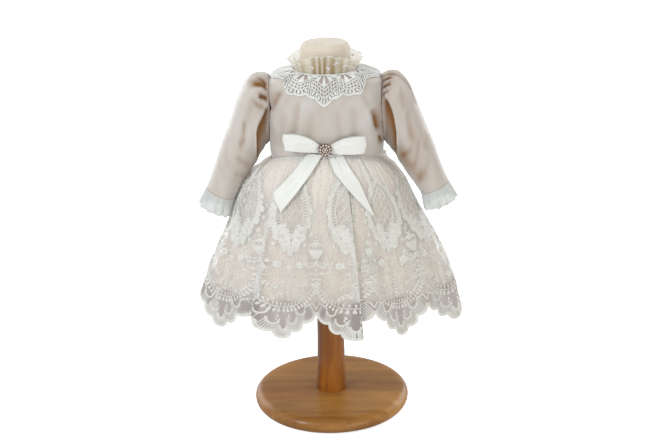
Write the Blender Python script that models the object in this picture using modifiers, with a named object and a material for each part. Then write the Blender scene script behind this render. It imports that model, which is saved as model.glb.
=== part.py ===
"""Christening gown on a dress form stand, true size.

Metres, +Z up. The origin is the centre of the base's underside, and the
gown's front faces -Y. The tables below are in millimetres. Angles run round
the stand from the front (-Y) towards +X.
"""
import math
from collections import namedtuple

import bmesh
import bpy
import numpy as np

MM = 0.001

# Walls and clearances, mm
SEAM = 0.3            # between two sewn pieces
CLOTH = 1.2           # satin bodice, sleeves and lining
NET = 1.0             # tulle, guipure and ribbon
FORM_EASE = 1.7       # between the bodice and the form
ON_TOP = 0.55         # between a panel and what is sewn on it
COLLAR_RAISE = 1.10   # the same under the collar, which bends over the shoulder

# Heights, mm
WAIST = 433.0
NECK = 580.0
LINING_TOP = 427.0
LINING_HEM = 229.0
LACE_VALLEY = 217.0
LACE_TIP = 170.0

# Rings of the bodice, bottom to top
Ring = namedtuple("Ring", "level half_width front back square lift")
BODICE = [
    Ring(433, 88.0, 64.0, 62.0, 2.6, 22),
    Ring(445, 90.0, 65.0, 62.5, 2.7, 20),
    Ring(460, 90.5, 66.0, 63.0, 2.8, 16),
    Ring(486, 90.5, 67.0, 63.0, 3.0, 10),
    Ring(514, 89.5, 66.0, 62.0, 3.1, 5),
    Ring(540, 89.0, 62.5, 60.0, 3.1, 1),
    Ring(556, 88.5, 59.0, 57.0, 3.0, 0),
    Ring(565, 87.0, 56.0, 54.0, 2.9, 0),
    Ring(570, 82.0, 53.0, 51.0, 2.7, 0),
    Ring(575, 70.0, 49.5, 48.0, 2.5, 0),
    Ring(580, 50.0, 45.0, 44.0, 2.2, -2),
]

# Rings of the skirt's outer swell, top to bottom
SKIRT = [
    Ring(433, 88.0, 64.0, 62.0, 2.6, 22),
    Ring(422, 105.0, 78.0, 76.0, 2.5, 20),
    Ring(407, 119.5, 90.0, 90.0, 2.4, 16),
    Ring(366, 141.5, 105.0, 108.0, 2.2, 8),
    Ring(315, 170.0, 116.0, 122.0, 2.1, 3),
    Ring(272, 191.5, 124.0, 132.0, 2.1, 0),
    Ring(224, 210.0, 130.0, 139.0, 2.1, 0),
    Ring(192, 219.0, 134.0, 143.0, 2.1, 0),
    Ring(165, 225.0, 137.0, 146.0, 2.1, 0),
]

# Troughs between the skirt's folds: where, how wide, how deep at the hem
Trough = namedtuple("Trough", "angle width depth")
TROUGHS = [
    Trough(25, 6.0, 11.0),
    Trough(-8, 7.0, 4.5),
    Trough(-27, 8.0, 7.0),
    Trough(-47, 6.0, 9.0),
    Trough(-66, 7.0, 7.0),
    Trough(-101, 7.0, 8.0),
    Trough(-117, 6.0, 9.0),
    Trough(-131, 8.0, 8.0),
    Trough(-153, 7.0, 9.5),
    Trough(-176, 8.0, 8.0),
    Trough(48, 7.0, 7.5),
    Trough(70, 7.0, 7.0),
    Trough(102, 7.0, 8.5),
    Trough(119, 6.0, 9.0),
    Trough(138, 8.0, 8.0),
    Trough(160, 7.0, 9.0),
]
GATHERS = 35          # small gathers under the waist seam
GATHER_DEPTH = 1.6
GATHER_FALL = 70.0    # how far down they fade out
FOLD_GROWTH = 0.8
LINING_INSIDE = 3.8   # how far the lining hangs inside the lace, at the waist
LINING_HANG = 11.0    # and how much further at its hem
LINING_FOLDS = 14
LINING_FOLD_DEPTH = 3.0
LINING_COLUMNS = 56

# Hem of the lace: the angle of each point's tip
TIP_ANGLES = [-170, -134, -98, -67, -33, 21, 47, 76, 108, 135, 162]
SCALLOPS = 7          # small scallops on each point
SCALLOP_DEPTH = 5.0

# Armhole: an upright oval on each side of the bodice
ARMHOLE_LEVEL = 514.0
ARMHOLE_HALF_HEIGHT = 54.0
ARMHOLE_HALF_DEPTH = 30.0

# Half of a sleeve's columns, degrees from its top; closer where it is gathered
SLEEVE_TURN = [0, 9, 18, 27, 36, 48, 62, 78, 96, 114, 134, 156, 180]

# Sections of a sleeve from the armhole down: top edge, under edge, depth
Section = namedtuple("Section", "outer_x outer_z inner_x inner_z half_depth centre_y")
SLEEVE = [
    Section(86.0, 568.0, 90.5, 460.0, 30.0, 0),
    Section(98.0, 573.5, 93.5, 456.5, 34.0, -1),
    Section(111.0, 573.0, 96.5, 452.5, 37.0, -2),
    Section(121.0, 567.5, 99.5, 448.0, 38.5, -3),
    Section(130.0, 555.0, 104.0, 442.0, 38.5, -4),
    Section(139.0, 536.0, 110.0, 434.0, 37.0, -6),
    Section(149.0, 509.0, 117.0, 424.5, 35.0, -9),
    Section(159.5, 483.0, 124.0, 414.0, 32.5, -12),
    Section(169.5, 458.0, 131.0, 403.5, 30.0, -15),
    Section(179.0, 433.0, 138.0, 392.5, 27.5, -18),
    Section(187.5, 411.0, 144.5, 382.5, 25.5, -20),
    Section(195.0, 391.0, 150.5, 373.0, 24.0, -22),
]
PLEAT_TURN = 18.0     # degrees from one cap pleat to the next
PLEAT_REACH = 44.0
PLEAT_DEPTH = 0.055   # of the section's size
CUFF_RAISE = {"left": -4.5, "right": 4.5}

# Frills: waves, length, and how far the free edge swells and ripples
CUFF_WAVES = 16
CUFF_FRILL_LENGTH = 26.0
CUFF_FRILL_LEAN = 0.34
CUFF_FRILL_SWELL = 0.15
CUFF_FRILL_FALL = -0.96
CUFF_RIPPLE = 2.3
NECK_WAVES = 16
NECK_FRILL_HEIGHT = 29.0
NECK_FRILL_SIDE_DROP = 15.0
NECK_FRILL_FLARE = 3.0
NECK_FRILL_SIDE_FLARE = 6.0
NECK_RIPPLE = 2.6

# Lower edge of the collar: angle from the front, level on the bodice
Edge = namedtuple("Edge", "angle level")
COLLAR = [
    Edge(0, 530),
    Edge(13, 543.5),
    Edge(25, 550.5),
    Edge(40, 550),
    Edge(46, 553),
    Edge(51, 561.5),
    Edge(56, 570.5),
    Edge(64, 571),
    Edge(78, 568.5),
    Edge(90, 568),
    Edge(104, 569),
    Edge(118, 571),
    Edge(126, 570.5),
    Edge(132, 562),
    Edge(138, 554),
    Edge(146, 551),
    Edge(162, 551.5),
    Edge(172, 555),
    Edge(180, 563),
]
COLLAR_ROWS = [(0, 0), (0.25, 0.11), (0.5, 0.26), (0.75, 0.57), (1, 1)]  # narrow, deep
COLLAR_SCALLOPS = 28
COLLAR_SCALLOP_DEPTH = 2.2

# Ribbon bows: reach and rise of a loop, and its width at the knot and the end
Loop = namedtuple("Loop", "reach knot_z end_z knot_width end_width")
FRONT_LOOPS = {"left": Loop(-64, 466, 478, 12, 26), "right": Loop(62.5, 466, 473, 12, 27)}
BACK_LOOPS = {"left": Loop(-84, 441, 417, 13, 27), "right": Loop(106, 441, 420, 13, 28)}
LOOP_PUFF = 4.6
LOOP_STRAIGHT = 0.68  # a loop bends round the waist this much as far as the cloth does
LOOP_CLEAR = 0.5      # further off the cloth than the other trimmings
LOOP_START = 0.4      # from the knot to the loop
LOOP_END_WALL = 1.15  # wall at a loop's ends, as a share of its wall elsewhere
LOOP_SIDES = 14
TAIL_ROWS = 8

# Ribbon tails: the two long edges as x, z, from the knot to the cut end
Tail = namedtuple("Tail", "near_x near_z far_x far_z")
FRONT_TAILS = {
    "left": [Tail(-4.5, 457.0, -27.0, 458.5), Tail(-26, 428.0, -52, 431.0), Tail(-70, 373, -82, 401)],
    "right": [Tail(3.0, 457.0, 25.5, 457.0), Tail(14.5, 434.0, 53.0, 419.0), Tail(72, 367.5, 75, 368.5)],
}
BACK_TAILS = {
    "left": [Tail(-4.0, 431.5, -25.0, 430.0), Tail(-16, 398.0, -43, 392.0), Tail(-50, 322, -66, 348)],
    "right": [Tail(4.0, 431.5, 25.0, 430.0), Tail(20, 396.0, 46, 388.0), Tail(52, 338, 73, 312)],
}
KNOT = (13.0, 7.0, 17.0)
KNOT_ROUND = 2.4

BUTTON_RADIUS = 4.5
BUTTON_THICK = 2.2
BUTTON_ROUND = 0.6
BUTTON_LEVELS = [545.0, 521.0, 497.0, 473.0]
BUTTON_X = 5.5

FORM_SIDES = 24

# Form: rings under the waist and up the neck, mm
FORM_FOOT = [
    Ring(386, 42.0, 36.0, 36.0, 2.0, 0),
    Ring(390, 66.0, 46.0, 45.0, 2.2, 0),
    Ring(402, 79.0, 56.0, 54.0, 2.4, 0),
    Ring(418, 83.5, 60.0, 58.0, 2.6, 0),
]
FORM_NECK = [
    Ring(577, 46.5, 42.0, 41.5, 2.1, 0),
    Ring(585, 41.0, 40.5, 40.5, 2.0, 0),
    Ring(596, 39.5, 39.5, 39.5, 2.0, 0),
    Ring(610, 39.0, 39.0, 39.0, 2.0, 0),
    Ring(617, 35.0, 35.0, 35.0, 2.0, 0),
    Ring(620.5, 26.0, 26.0, 26.0, 2.0, 0),
    Ring(621.5, 12.0, 12.0, 12.0, 2.0, 0),
]

# Turned wood: radius and height down the outside, mm
POST_PROFILE = [(0, 385.7), (22.0, 385.7), (22.5, 120.0), (23.5, 66.0), (26.0, 34.0), (26.5, 24.3), (0, 24.3)]
BASE_PROFILE = [
    (0, 24), (114, 24), (122, 22.6), (128, 18), (130, 12), (128.5, 5.5), (123, 1), (116, 0), (0, 0),
]
BROOCH_PROFILE = [(0, 5.4), (3.2, 4.6), (4.6, 2.8), (7.0, 4.2), (9.6, 3.4), (11.0, 1.4), (10.6, 0), (0, 0)]

# Finishes: linear colour, roughness, metallic
FINISHES = {
    "satin": ((0.69, 0.60, 0.50), 0.42, 0.0),
    "lining": ((0.75, 0.65, 0.55), 0.55, 0.0),
    "lace": ((0.84, 0.82, 0.74), 0.7, 0.0),
    "ribbon": ((0.90, 0.88, 0.78), 0.6, 0.0),
    "brooch": ((0.42, 0.27, 0.22), 0.25, 0.8),
    "button": ((0.86, 0.83, 0.76), 0.25, 0.0),
    "jersey": ((0.83, 0.78, 0.70), 0.85, 0.0),
    "wood": ((0.48, 0.24, 0.075), 0.3, 0.0),
}


def clear_scene():
    for item in list(bpy.data.objects):
        bpy.data.objects.remove(item, do_unlink=True)


def material(kind):
    found = bpy.data.materials.get(kind)
    if found:
        return found
    colour, roughness, metallic = FINISHES[kind]
    made = bpy.data.materials.new(kind)
    made.use_nodes = True
    shader = made.node_tree.nodes["Principled BSDF"]
    shader.inputs["Base Color"].default_value = (*colour, 1.0)
    shader.inputs["Roughness"].default_value = roughness
    shader.inputs["Metallic"].default_value = metallic
    return made


def add_object(name, mesh, kind):
    piece = bpy.data.objects.new(name, mesh)
    piece.data.materials.append(material(kind))
    COLLECTION.objects.link(piece)
    return piece


def mesh_from(name, points, faces, kind):
    """A closed body from points in millimetres, its faces turned outwards."""
    mesh = bpy.data.meshes.new(name)
    mesh.from_pydata([tuple(p) for p in np.asarray(points, float) * MM], [], faces)
    work = bmesh.new()
    work.from_mesh(mesh)
    bmesh.ops.recalc_face_normals(work, faces=work.faces)
    work.to_mesh(mesh)
    work.free()
    mesh.shade_smooth()
    mesh.set_sharp_from_angle(angle=math.radians(50))
    return add_object(name, mesh, kind)


def strip(top, bottom, wrap):
    """Faces between two rows of point numbers; the lower row may be finer."""
    steps = len(top) if wrap else len(top) - 1
    finer = (len(bottom) if wrap else len(bottom) - 1) // steps
    faces = []
    for i in range(steps):
        low = [bottom[(i * finer + k) % len(bottom)] for k in range(finer + 1)]
        faces.append([top[(i + 1) % len(top)], top[i]] + low)
    return faces


def wall(name, outer, inner, kind, wrap=False):
    """A cloth wall from rows of outer points and the matching inner points."""
    points = []
    outer_rows = []
    inner_rows = []
    for rows, numbers in ((outer, outer_rows), (inner, inner_rows)):
        for row in rows:
            numbers.append(list(range(len(points), len(points) + len(row))))
            points.extend(row)
    faces = []
    for top, bottom in zip(outer_rows, outer_rows[1:]):
        faces += strip(top, bottom, wrap)
    for top, bottom in zip(inner_rows, inner_rows[1:]):
        faces += [face[::-1] for face in strip(top, bottom, wrap)]
    faces += strip(inner_rows[0], outer_rows[0], wrap)
    faces += strip(outer_rows[-1], inner_rows[-1], wrap)
    if not wrap:
        for side in (0, -1):
            left = [row[side] for row in outer_rows]
            right = [row[side] for row in inner_rows]
            faces += strip(left, right, False)
    return mesh_from(name, points, faces, kind)


def solid(name, rows, kind):
    """A closed body from rings, with flat ends."""
    points = [point for row in rows for point in row]
    count = len(rows[0])
    numbers = [list(range(k * count, (k + 1) * count)) for k in range(len(rows))]
    faces = [numbers[0], numbers[-1][::-1]]
    for low, high in zip(numbers, numbers[1:]):
        faces += strip(low, high, True)
    return mesh_from(name, points, faces, kind)


def smooth_table(rows, column, at):
    """A soft curve through one column of a table, read at the given places."""
    xs = np.array([row[0] for row in rows], float)
    ys = np.array([getattr(row, column) for row in rows], float)
    if xs[0] > xs[-1]:
        xs, ys = xs[::-1], ys[::-1]
    at = np.clip(np.asarray(at, float), xs[0], xs[-1])
    slope = np.gradient(ys, xs)
    k = np.clip(np.searchsorted(xs, at) - 1, 0, len(xs) - 2)
    span = xs[k + 1] - xs[k]
    t = (at - xs[k]) / span
    start = (1 + 2 * t) * (1 - t) ** 2 * ys[k] + t * (1 - t) ** 2 * span * slope[k]
    end = t * t * (3 - 2 * t) * ys[k + 1] + t * t * (t - 1) * span * slope[k + 1]
    return start + end


def ring_point(table, level, angle):
    """Point of a ringed surface: a squared oval, raised towards the front."""
    level, angle = np.broadcast_arrays(np.asarray(level, float), np.asarray(angle, float))
    half = smooth_table(table, "half_width", level)
    front, back = smooth_table(table, "front", level), smooth_table(table, "back", level)
    depth = np.where(np.cos(angle) > 0, front, back)
    square = smooth_table(table, "square", level)
    reach = (np.abs(np.sin(angle)) / half) ** square + (np.abs(np.cos(angle)) / depth) ** square
    radius = reach ** (-1 / square)
    y = -radius * np.cos(angle)
    raised = smooth_table(table, "lift", level) * np.clip(-y / depth, 0, 1) ** 1.3
    return np.stack([radius * np.sin(angle), y, level + raised], axis=-1)


def moved_out(surface, a, b, distance):
    """Points of surface(a, b) moved along its normal, away from the stand's axis."""
    small_a, small_b = 0.02, 0.0005
    point = surface(a, b)
    along = surface(a + small_a, b) - surface(a - small_a, b)
    across = surface(a, b + small_b) - surface(a, b - small_b)
    normal = np.cross(along, across)
    normal /= np.linalg.norm(normal, axis=-1, keepdims=True)
    return point + normal * distance


def bodice(level, angle):
    return ring_point(BODICE, level, angle)


def bodice_out(level, angle, distance):
    """Bodice surface moved out; near the ends of its table it uses the last row."""
    low, high = BODICE[0].level + 0.03, BODICE[-1].level - 0.03
    inside = np.clip(level, low, high)
    shifted = moved_out(bodice, inside, angle, -distance)
    return shifted + bodice(level, angle) - bodice(inside, angle)


def armhole_edge(level):
    """Half depth of the gap between front and back at a level."""
    rise = np.clip((level - ARMHOLE_LEVEL) / ARMHOLE_HALF_HEIGHT, -1, 1)
    return np.maximum(ARMHOLE_HALF_DEPTH * np.sqrt(1 - rise ** 2), SEAM / 2)


def edge_angle(level, depth_name):
    """Angle round the stand at which a bodice ring meets its side edge."""
    gap = armhole_edge(level)
    half = smooth_table(BODICE, "half_width", level)
    depth = smooth_table(BODICE, depth_name, level)
    square = smooth_table(BODICE, "square", level)
    x = half * (1 - (gap / depth) ** square) ** (1 / square)
    return np.arctan2(x, gap)


def bodice_levels():
    turn = np.radians(SLEEVE_TURN)
    middle = ARMHOLE_LEVEL + ARMHOLE_HALF_HEIGHT * np.cos(turn)
    return np.concatenate([[NECK, 576.0, 572.0], middle, [446.0, WAIST]])


def panel(name, start, end, columns):
    """A bodice panel between two edge angles, given for every level."""
    levels = bodice_levels()
    share = np.linspace(0, 1, columns + 1)
    angle = start[:, None] + (end - start)[:, None] * share
    level = np.repeat(levels[:, None], columns + 1, axis=1)
    return wall(name, bodice_out(level, angle, 0), bodice_out(level, angle, -CLOTH), "satin")


def make_bodice():
    levels = bodice_levels()
    front = edge_angle(levels, "front")
    panel("bodice_front", -front, front, 14)
    back = math.pi - edge_angle(levels, "back")
    opening = math.pi - SEAM / 2 / smooth_table(BODICE, "back", levels)
    panel("bodice_back_right", back, opening, 7)
    panel("bodice_back_left", -opening, -back, 7)


def sleeve_turns():
    half = np.radians(SLEEVE_TURN)
    return np.concatenate([half, 2 * math.pi - half[-2:0:-1]])


def armhole_ring(turn, inset):
    """Start of a sleeve, just inside the armhole and just proud of it."""
    level = ARMHOLE_LEVEL + (ARMHOLE_HALF_HEIGHT - inset) * np.cos(turn)
    y = -(ARMHOLE_HALF_DEPTH - inset) * np.sin(turn)
    front, back = smooth_table(BODICE, "front", level), smooth_table(BODICE, "back", level)
    depth = np.where(y < 0, front, back)
    square = smooth_table(BODICE, "square", level)
    half = smooth_table(BODICE, "half_width", level)
    x = half * (1 - (np.abs(y) / depth) ** square) ** (1 / square)
    raised = smooth_table(BODICE, "lift", level) * np.clip(-y / depth, 0, 1) ** 1.3
    return np.stack([x + SEAM + 0.1, y, level + raised], axis=-1)


def section_point(row, turn, inset, raise_by, full):
    """Point of a sleeve's section: top edge to under edge, and its depth."""
    outer = np.array([row.outer_x, row.centre_y, row.outer_z])
    inner = np.array([row.inner_x, row.centre_y, row.inner_z])
    middle = (outer + inner) / 2 + np.array([0, 0, raise_by])
    up = (outer - inner) / 2
    size = np.linalg.norm(up)
    up = up * (1 - inset / size)
    cos, sin = np.cos(turn)[:, None], np.sin(turn)[:, None]
    depth = np.array([0, -(row.half_depth - inset), 0])
    return middle + (up * cos + depth * sin) * (1 + full[:, None])


def cap_pleats(turn, row_number):
    """Fullness of the gathered cap: pleats that fade down the sleeve."""
    from_top = np.degrees(np.minimum(turn, 2 * math.pi - turn))
    fade = max(0.0, 1 - row_number / 5) if row_number else 0.0
    near = np.clip(1 - from_top / PLEAT_REACH, 0, 1) ** 0.5
    return PLEAT_DEPTH * fade * near * np.cos(from_top / PLEAT_TURN * 2 * math.pi)


def sleeve_rows(side, inset):
    turn = sleeve_turns()
    rows = [armhole_ring(turn, SEAM + inset)]
    for number, row in enumerate(SLEEVE[1:], start=1):
        rise = CUFF_RAISE[side] * (number / (len(SLEEVE) - 1)) ** 2
        rows.append(section_point(row, turn, inset, rise, cap_pleats(turn, number)))
    return mirrored(rows, side)


def mirrored(rows, side):
    way = np.array([-1.0 if side == "left" else 1.0, 1.0, 1.0])
    return [row * way for row in rows]


def frill_rows(side, inset):
    """Wrist frill: the cuff's section carried down, swelling and rippling."""
    columns = CUFF_WAVES * 4
    turn = np.arange(columns) / columns * 2 * math.pi
    rows = []
    for share in (0.0, 0.5, 1.0):
        ripple = CUFF_RIPPLE * (0.15 + 0.85 * share) * np.cos(CUFF_WAVES * turn)
        full = CUFF_FRILL_SWELL * share + ripple / SLEEVE[-1].half_depth
        row = section_point(SLEEVE[-1], turn, inset, CUFF_RAISE[side], full)
        down = SEAM + 0.2 + CUFF_FRILL_LENGTH * share
        rows.append(row + np.array([CUFF_FRILL_LEAN, 0, CUFF_FRILL_FALL]) * down)
    return mirrored(rows, side)


def make_sleeves():
    for side in ("left", "right"):
        outer, inner = sleeve_rows(side, 0.0), sleeve_rows(side, CLOTH)
        wall("sleeve_" + side, outer, inner, "satin", wrap=True)
        outer, inner = frill_rows(side, 0.0), frill_rows(side, NET)
        wall("cuff_frill_" + side, outer, inner, "lace", wrap=True)


def neck_frill_rows(out):
    """Frill that stands on the neck seam and leans outwards at the sides."""
    columns = NECK_WAVES * 4
    gap = SEAM / 2 / BODICE[-1].back
    angle = np.linspace(-math.pi + gap, math.pi - gap, columns + 1)
    base = bodice(NECK, angle)
    sideways = np.sin(angle) ** 2
    outward = base * np.array([1, 1, 0])
    outward /= np.linalg.norm(outward, axis=-1, keepdims=True)
    rows = []
    for share in (1.0, 0.66, 0.33, 0.0):
        height = NECK_FRILL_HEIGHT - NECK_FRILL_SIDE_DROP * sideways
        flare = (NECK_FRILL_FLARE + NECK_FRILL_SIDE_FLARE * sideways) * share ** 1.6
        ripple = NECK_RIPPLE * share * np.cos(NECK_WAVES * angle)
        row = base + outward * (flare + ripple + out)[:, None]
        row[:, 2] += SEAM + height * share
        rows.append(row)
    return rows


def collar_rows(out):
    """Collar on the bodice's own surface, moved out, with a scalloped edge."""
    columns = COLLAR_SCALLOPS * 3
    gap = SEAM / BODICE[-1].back
    angle = np.linspace(-math.pi + gap, math.pi - gap, columns + 1)
    from_front = np.degrees(np.abs(angle))
    lower = np.interp(from_front, [e.angle for e in COLLAR], [e.level for e in COLLAR])
    scallop = np.abs(np.sin(COLLAR_SCALLOPS * (angle + math.pi) / 2))
    narrow = np.clip((NECK - lower) / 25, 0.25, 1)
    lower = lower - COLLAR_SCALLOP_DEPTH * scallop * narrow
    top = NECK - 0.4
    deep = np.clip((NECK - lower) / 45, 0, 1)
    rows = []
    for even, close in COLLAR_ROWS:
        share = even + (close - even) * deep
        rows.append(bodice_out(top + (lower - top) * share, angle, out))
    return rows


def make_neck():
    wall("neck_frill", neck_frill_rows(0), neck_frill_rows(-NET), "lace")
    wall("collar_lace", collar_rows(COLLAR_RAISE + NET), collar_rows(COLLAR_RAISE), "lace")


def trough_depth(angle, level, widen=1.0):
    """How far the folds' troughs lie inside the skirt's outer swell."""
    share = np.clip((WAIST - level) / (WAIST - LACE_VALLEY), 0, 1.2)
    total = np.zeros(np.broadcast(angle, level).shape)
    for fold in TROUGHS:
        away = np.degrees(angle) - fold.angle
        away = (away + 180) % 360 - 180
        total = total + fold.depth * np.exp(-(away / (fold.width * widen)) ** 2)
    return total * share ** FOLD_GROWTH


def gather_depth(angle, level):
    share = np.clip((WAIST - level) / GATHER_FALL, 0, 1)
    return GATHER_DEPTH * (1 - share) * (0.5 - 0.5 * np.cos(GATHERS * angle)) * np.clip(share * 12, 0.25, 1)


def pressed_in(point, depth):
    """Point moved towards the stand's axis."""
    plan = point * np.array([1, 1, 0])
    return point - plan / np.linalg.norm(plan, axis=-1, keepdims=True) * depth[..., None]


def lace_surface(level, angle):
    point = ring_point(SKIRT, level, angle)
    return pressed_in(point, trough_depth(angle, level) + gather_depth(angle, level))


def lining_surface(level, angle):
    """Lining: hangs inside the lace, in soft folds of its own."""
    share = np.clip((WAIST - level) / (WAIST - LACE_VALLEY), 0, 1)
    inside = LINING_INSIDE + LINING_HANG * share ** FOLD_GROWTH
    folds = LINING_FOLD_DEPTH * share * (0.5 - 0.5 * np.cos(LINING_FOLDS * angle))
    return pressed_in(ring_point(SKIRT, level, angle), inside + folds)


def point_columns(steps):
    """Angles round the hem, with the same number of steps on every point."""
    tips = np.radians(TIP_ANGLES)
    tips = np.concatenate([[tips[-1] - 2 * math.pi], tips])
    valleys = (tips[:-1] + tips[1:]) / 2
    valleys = np.append(valleys, valleys[0] + 2 * math.pi)
    share = np.arange(steps) / steps
    angles = valleys[:-1, None] + (valleys[1:] - valleys[:-1])[:, None] * share
    return angles.ravel(), np.tile(share, len(TIP_ANGLES))


def hem_level(share):
    """Level of the lace's edge across one point: a V with small scallops."""
    slope = (1 - np.abs(2 * share - 1)) ** 0.9
    scallop = np.abs(np.sin(SCALLOPS * math.pi * share))
    return LACE_VALLEY - (LACE_VALLEY - LACE_TIP - SCALLOP_DEPTH) * slope - SCALLOP_DEPTH * scallop


def skirt_rows(surface, levels, angle, thick):
    rows_out = []
    rows_in = []
    for level in levels:
        place = np.broadcast_to(level, angle.shape)
        rows_out.append(surface(place, angle))
        rows_in.append(moved_out(surface, place, angle, thick))
    return rows_out, rows_in


def make_skirt():
    coarse, coarse_share = point_columns(SCALLOPS * 2 - 1)
    fine, fine_share = point_columns((SCALLOPS * 2 - 1) * 2)
    top = WAIST - SEAM
    levels = [top, 420.0, 398.0, 350.0, 285.0]
    outer, inner = skirt_rows(lace_surface, levels, coarse, NET)
    last_out, last_in = skirt_rows(lace_surface, [hem_level(fine_share)], fine, NET)
    wall("skirt_lace", outer + last_out, inner + last_in, "lace", wrap=True)
    columns = np.arange(LINING_COLUMNS) / LINING_COLUMNS * 2 * math.pi
    levels = [LINING_TOP, 420.0, 398.0, 350.0, 285.0, LINING_HEM]
    outer, inner = skirt_rows(lining_surface, levels, columns, CLOTH)
    wall("skirt_lining", outer, inner, "lining", wrap=True)


def gown_depth(x, z, back):
    """Distance from the axis plane to the gown's surface at x, z."""
    name = "back" if back else "front"
    best = np.zeros(np.broadcast(x, z).shape)
    for table in (BODICE, SKIRT):
        level = np.array(np.broadcast_to(z, best.shape), float)
        for _ in range(14):
            depth = smooth_table(table, name, level)
            half = smooth_table(table, "half_width", level)
            square = smooth_table(table, "square", level)
            share = np.clip(1 - (np.abs(x) / half) ** square, 0, 1) ** (1 / square)
            lift = 0 if back else smooth_table(table, "lift", level) * share ** 1.3
            level = level + 0.6 * (z - lift - level)
        low = min(table[0].level, table[-1].level) - 1
        high = max(table[0].level, table[-1].level) + 1
        here = (level > low) & (level < high)
        best = np.maximum(best, np.where(here, depth * share, 0))
    return best


def laid(x, z, out, back):
    """Points at x, z that lie on the gown's front or back, moved out."""
    depth = gown_depth(x, z, back) + out
    return np.stack([x + 0 * depth, depth if back else -depth, z + 0 * depth], axis=-1)


def loop_rows(loop, inset, back):
    """A ribbon loop: a long flat ring, seen side on, as wide as the ribbon."""
    turn = np.arange(LOOP_SIDES) / LOOP_SIDES * 2 * math.pi
    way = math.copysign(1, loop.reach)
    start = KNOT[0] / 2 + LOOP_START
    length = abs(loop.reach) - start
    share = (1 - np.cos(turn)) / 2
    end_wall = inset * LOOP_END_WALL
    x = way * (start + end_wall + (length - 2 * end_wall) * share)
    fullest = LOOP_PUFF * (0.5 + 0.5 * share)
    puff = (fullest - inset) * np.sin(turn)
    middle = loop.knot_z + (loop.end_z - loop.knot_z) * share
    width = loop.knot_width + (loop.end_width - loop.knot_width) * share
    rows = []
    for across in (-0.5, 0.0, 0.5):
        z = middle + width * across
        y = gown_depth(x * LOOP_STRAIGHT, z, back) + ON_TOP + NET + LOOP_CLEAR + fullest + puff
        rows.append(np.stack([x, y if back else -y, z], axis=-1))
    return rows


def tail_grid(tail, back, out):
    """A ribbon tail laid on the skirt: rows from the knot to the cut end."""
    share = np.linspace(0, 1, TAIL_ROWS)
    keys = np.linspace(0, 1, len(tail))
    near_x = np.interp(share, keys, [t.near_x for t in tail])
    near_z = np.interp(share, keys, [t.near_z for t in tail])
    far_x = np.interp(share, keys, [t.far_x for t in tail])
    far_z = np.interp(share, keys, [t.far_z for t in tail])
    rows = []
    across = np.linspace(0, 1, 3)
    for k in range(TAIL_ROWS):
        x = near_x[k] + (far_x[k] - near_x[k]) * across
        z = near_z[k] + (far_z[k] - near_z[k]) * across
        rows.append(laid(x, z, out, back))
    return rows


def turned(name, profile, kind, steps):
    """A turned body: its outline spun round Z."""
    mesh = bpy.data.meshes.new(name)
    points = [(r * MM, 0, z * MM) for r, z in profile]
    mesh.from_pydata(points, [(i, i + 1) for i in range(len(points) - 1)], [])
    piece = add_object(name, mesh, kind)
    screw = piece.modifiers.new("turn", "SCREW")
    screw.steps = steps
    screw.render_steps = steps
    screw.use_merge_vertices = True
    screw.merge_threshold = 0.00001
    screw.use_smooth_shade = True
    return piece


def knot(name, centre_z, back):
    bpy.ops.mesh.primitive_cube_add(size=1)
    piece = bpy.context.object
    piece.name = name
    piece.data.name = name
    piece.data.materials.append(material("ribbon"))
    size = np.array(KNOT) * MM
    for vertex in piece.data.vertices:
        vertex.co = [c * s for c, s in zip(vertex.co, size)]
    heights = centre_z + np.array([-0.5, 0, 0.5]) * KNOT[2]
    depth = gown_depth(np.zeros(3), heights, back).max() + ON_TOP + KNOT[1] / 2
    piece.location = (0, (depth if back else -depth) * MM, centre_z * MM)
    bevel = piece.modifiers.new("round", "BEVEL")
    bevel.width = KNOT_ROUND * MM
    bevel.segments = 2
    for holder in list(piece.users_collection):
        holder.objects.unlink(piece)
    COLLECTION.objects.link(piece)
    return piece


def make_bow(prefix, loops, tails, knot_z, back):
    for side in ("left", "right"):
        outer, inner = loop_rows(loops[side], 0, back), loop_rows(loops[side], NET, back)
        wall(prefix + "_loop_" + side, outer, inner, "ribbon", wrap=True)
        outer = tail_grid(tails[side], back, ON_TOP + NET)
        inner = tail_grid(tails[side], back, ON_TOP)
        wall(prefix + "_tail_" + side, outer, inner, "ribbon")
    return knot(prefix + "_knot", knot_z, back)


def make_bows():
    front = make_bow("front_bow", FRONT_LOOPS, FRONT_TAILS, 467.0, False)
    make_bow("back_bow", BACK_LOOPS, BACK_TAILS, 441.0, True)
    brooch = turned("brooch", BROOCH_PROFILE, "brooch", 24)
    face = front.location.y - KNOT[1] / 2 * MM - SEAM * MM
    brooch.rotation_euler = (math.radians(90), 0, 0)
    brooch.location = (0, face, front.location.z)


def make_buttons():
    for number, level in enumerate(BUTTON_LEVELS, start=1):
        bpy.ops.mesh.primitive_cylinder_add(vertices=12, radius=BUTTON_RADIUS * MM, depth=BUTTON_THICK * MM)
        button = bpy.context.object
        button.name = "back_button_%d" % number
        button.data.materials.append(material("button"))
        reach = np.array([-1, 0, 1]) * BUTTON_RADIUS
        depth = gown_depth(np.full(3, BUTTON_X), level + reach, True).max()
        button.location = (BUTTON_X * MM, (depth + ON_TOP + BUTTON_THICK / 2) * MM, level * MM)
        button.rotation_euler = (math.radians(90), 0, 0)
        bevel = button.modifiers.new("round", "BEVEL")
        bevel.width = BUTTON_ROUND * MM
        bevel.segments = 1
        for holder in list(button.users_collection):
            holder.objects.unlink(button)
        COLLECTION.objects.link(button)


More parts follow.
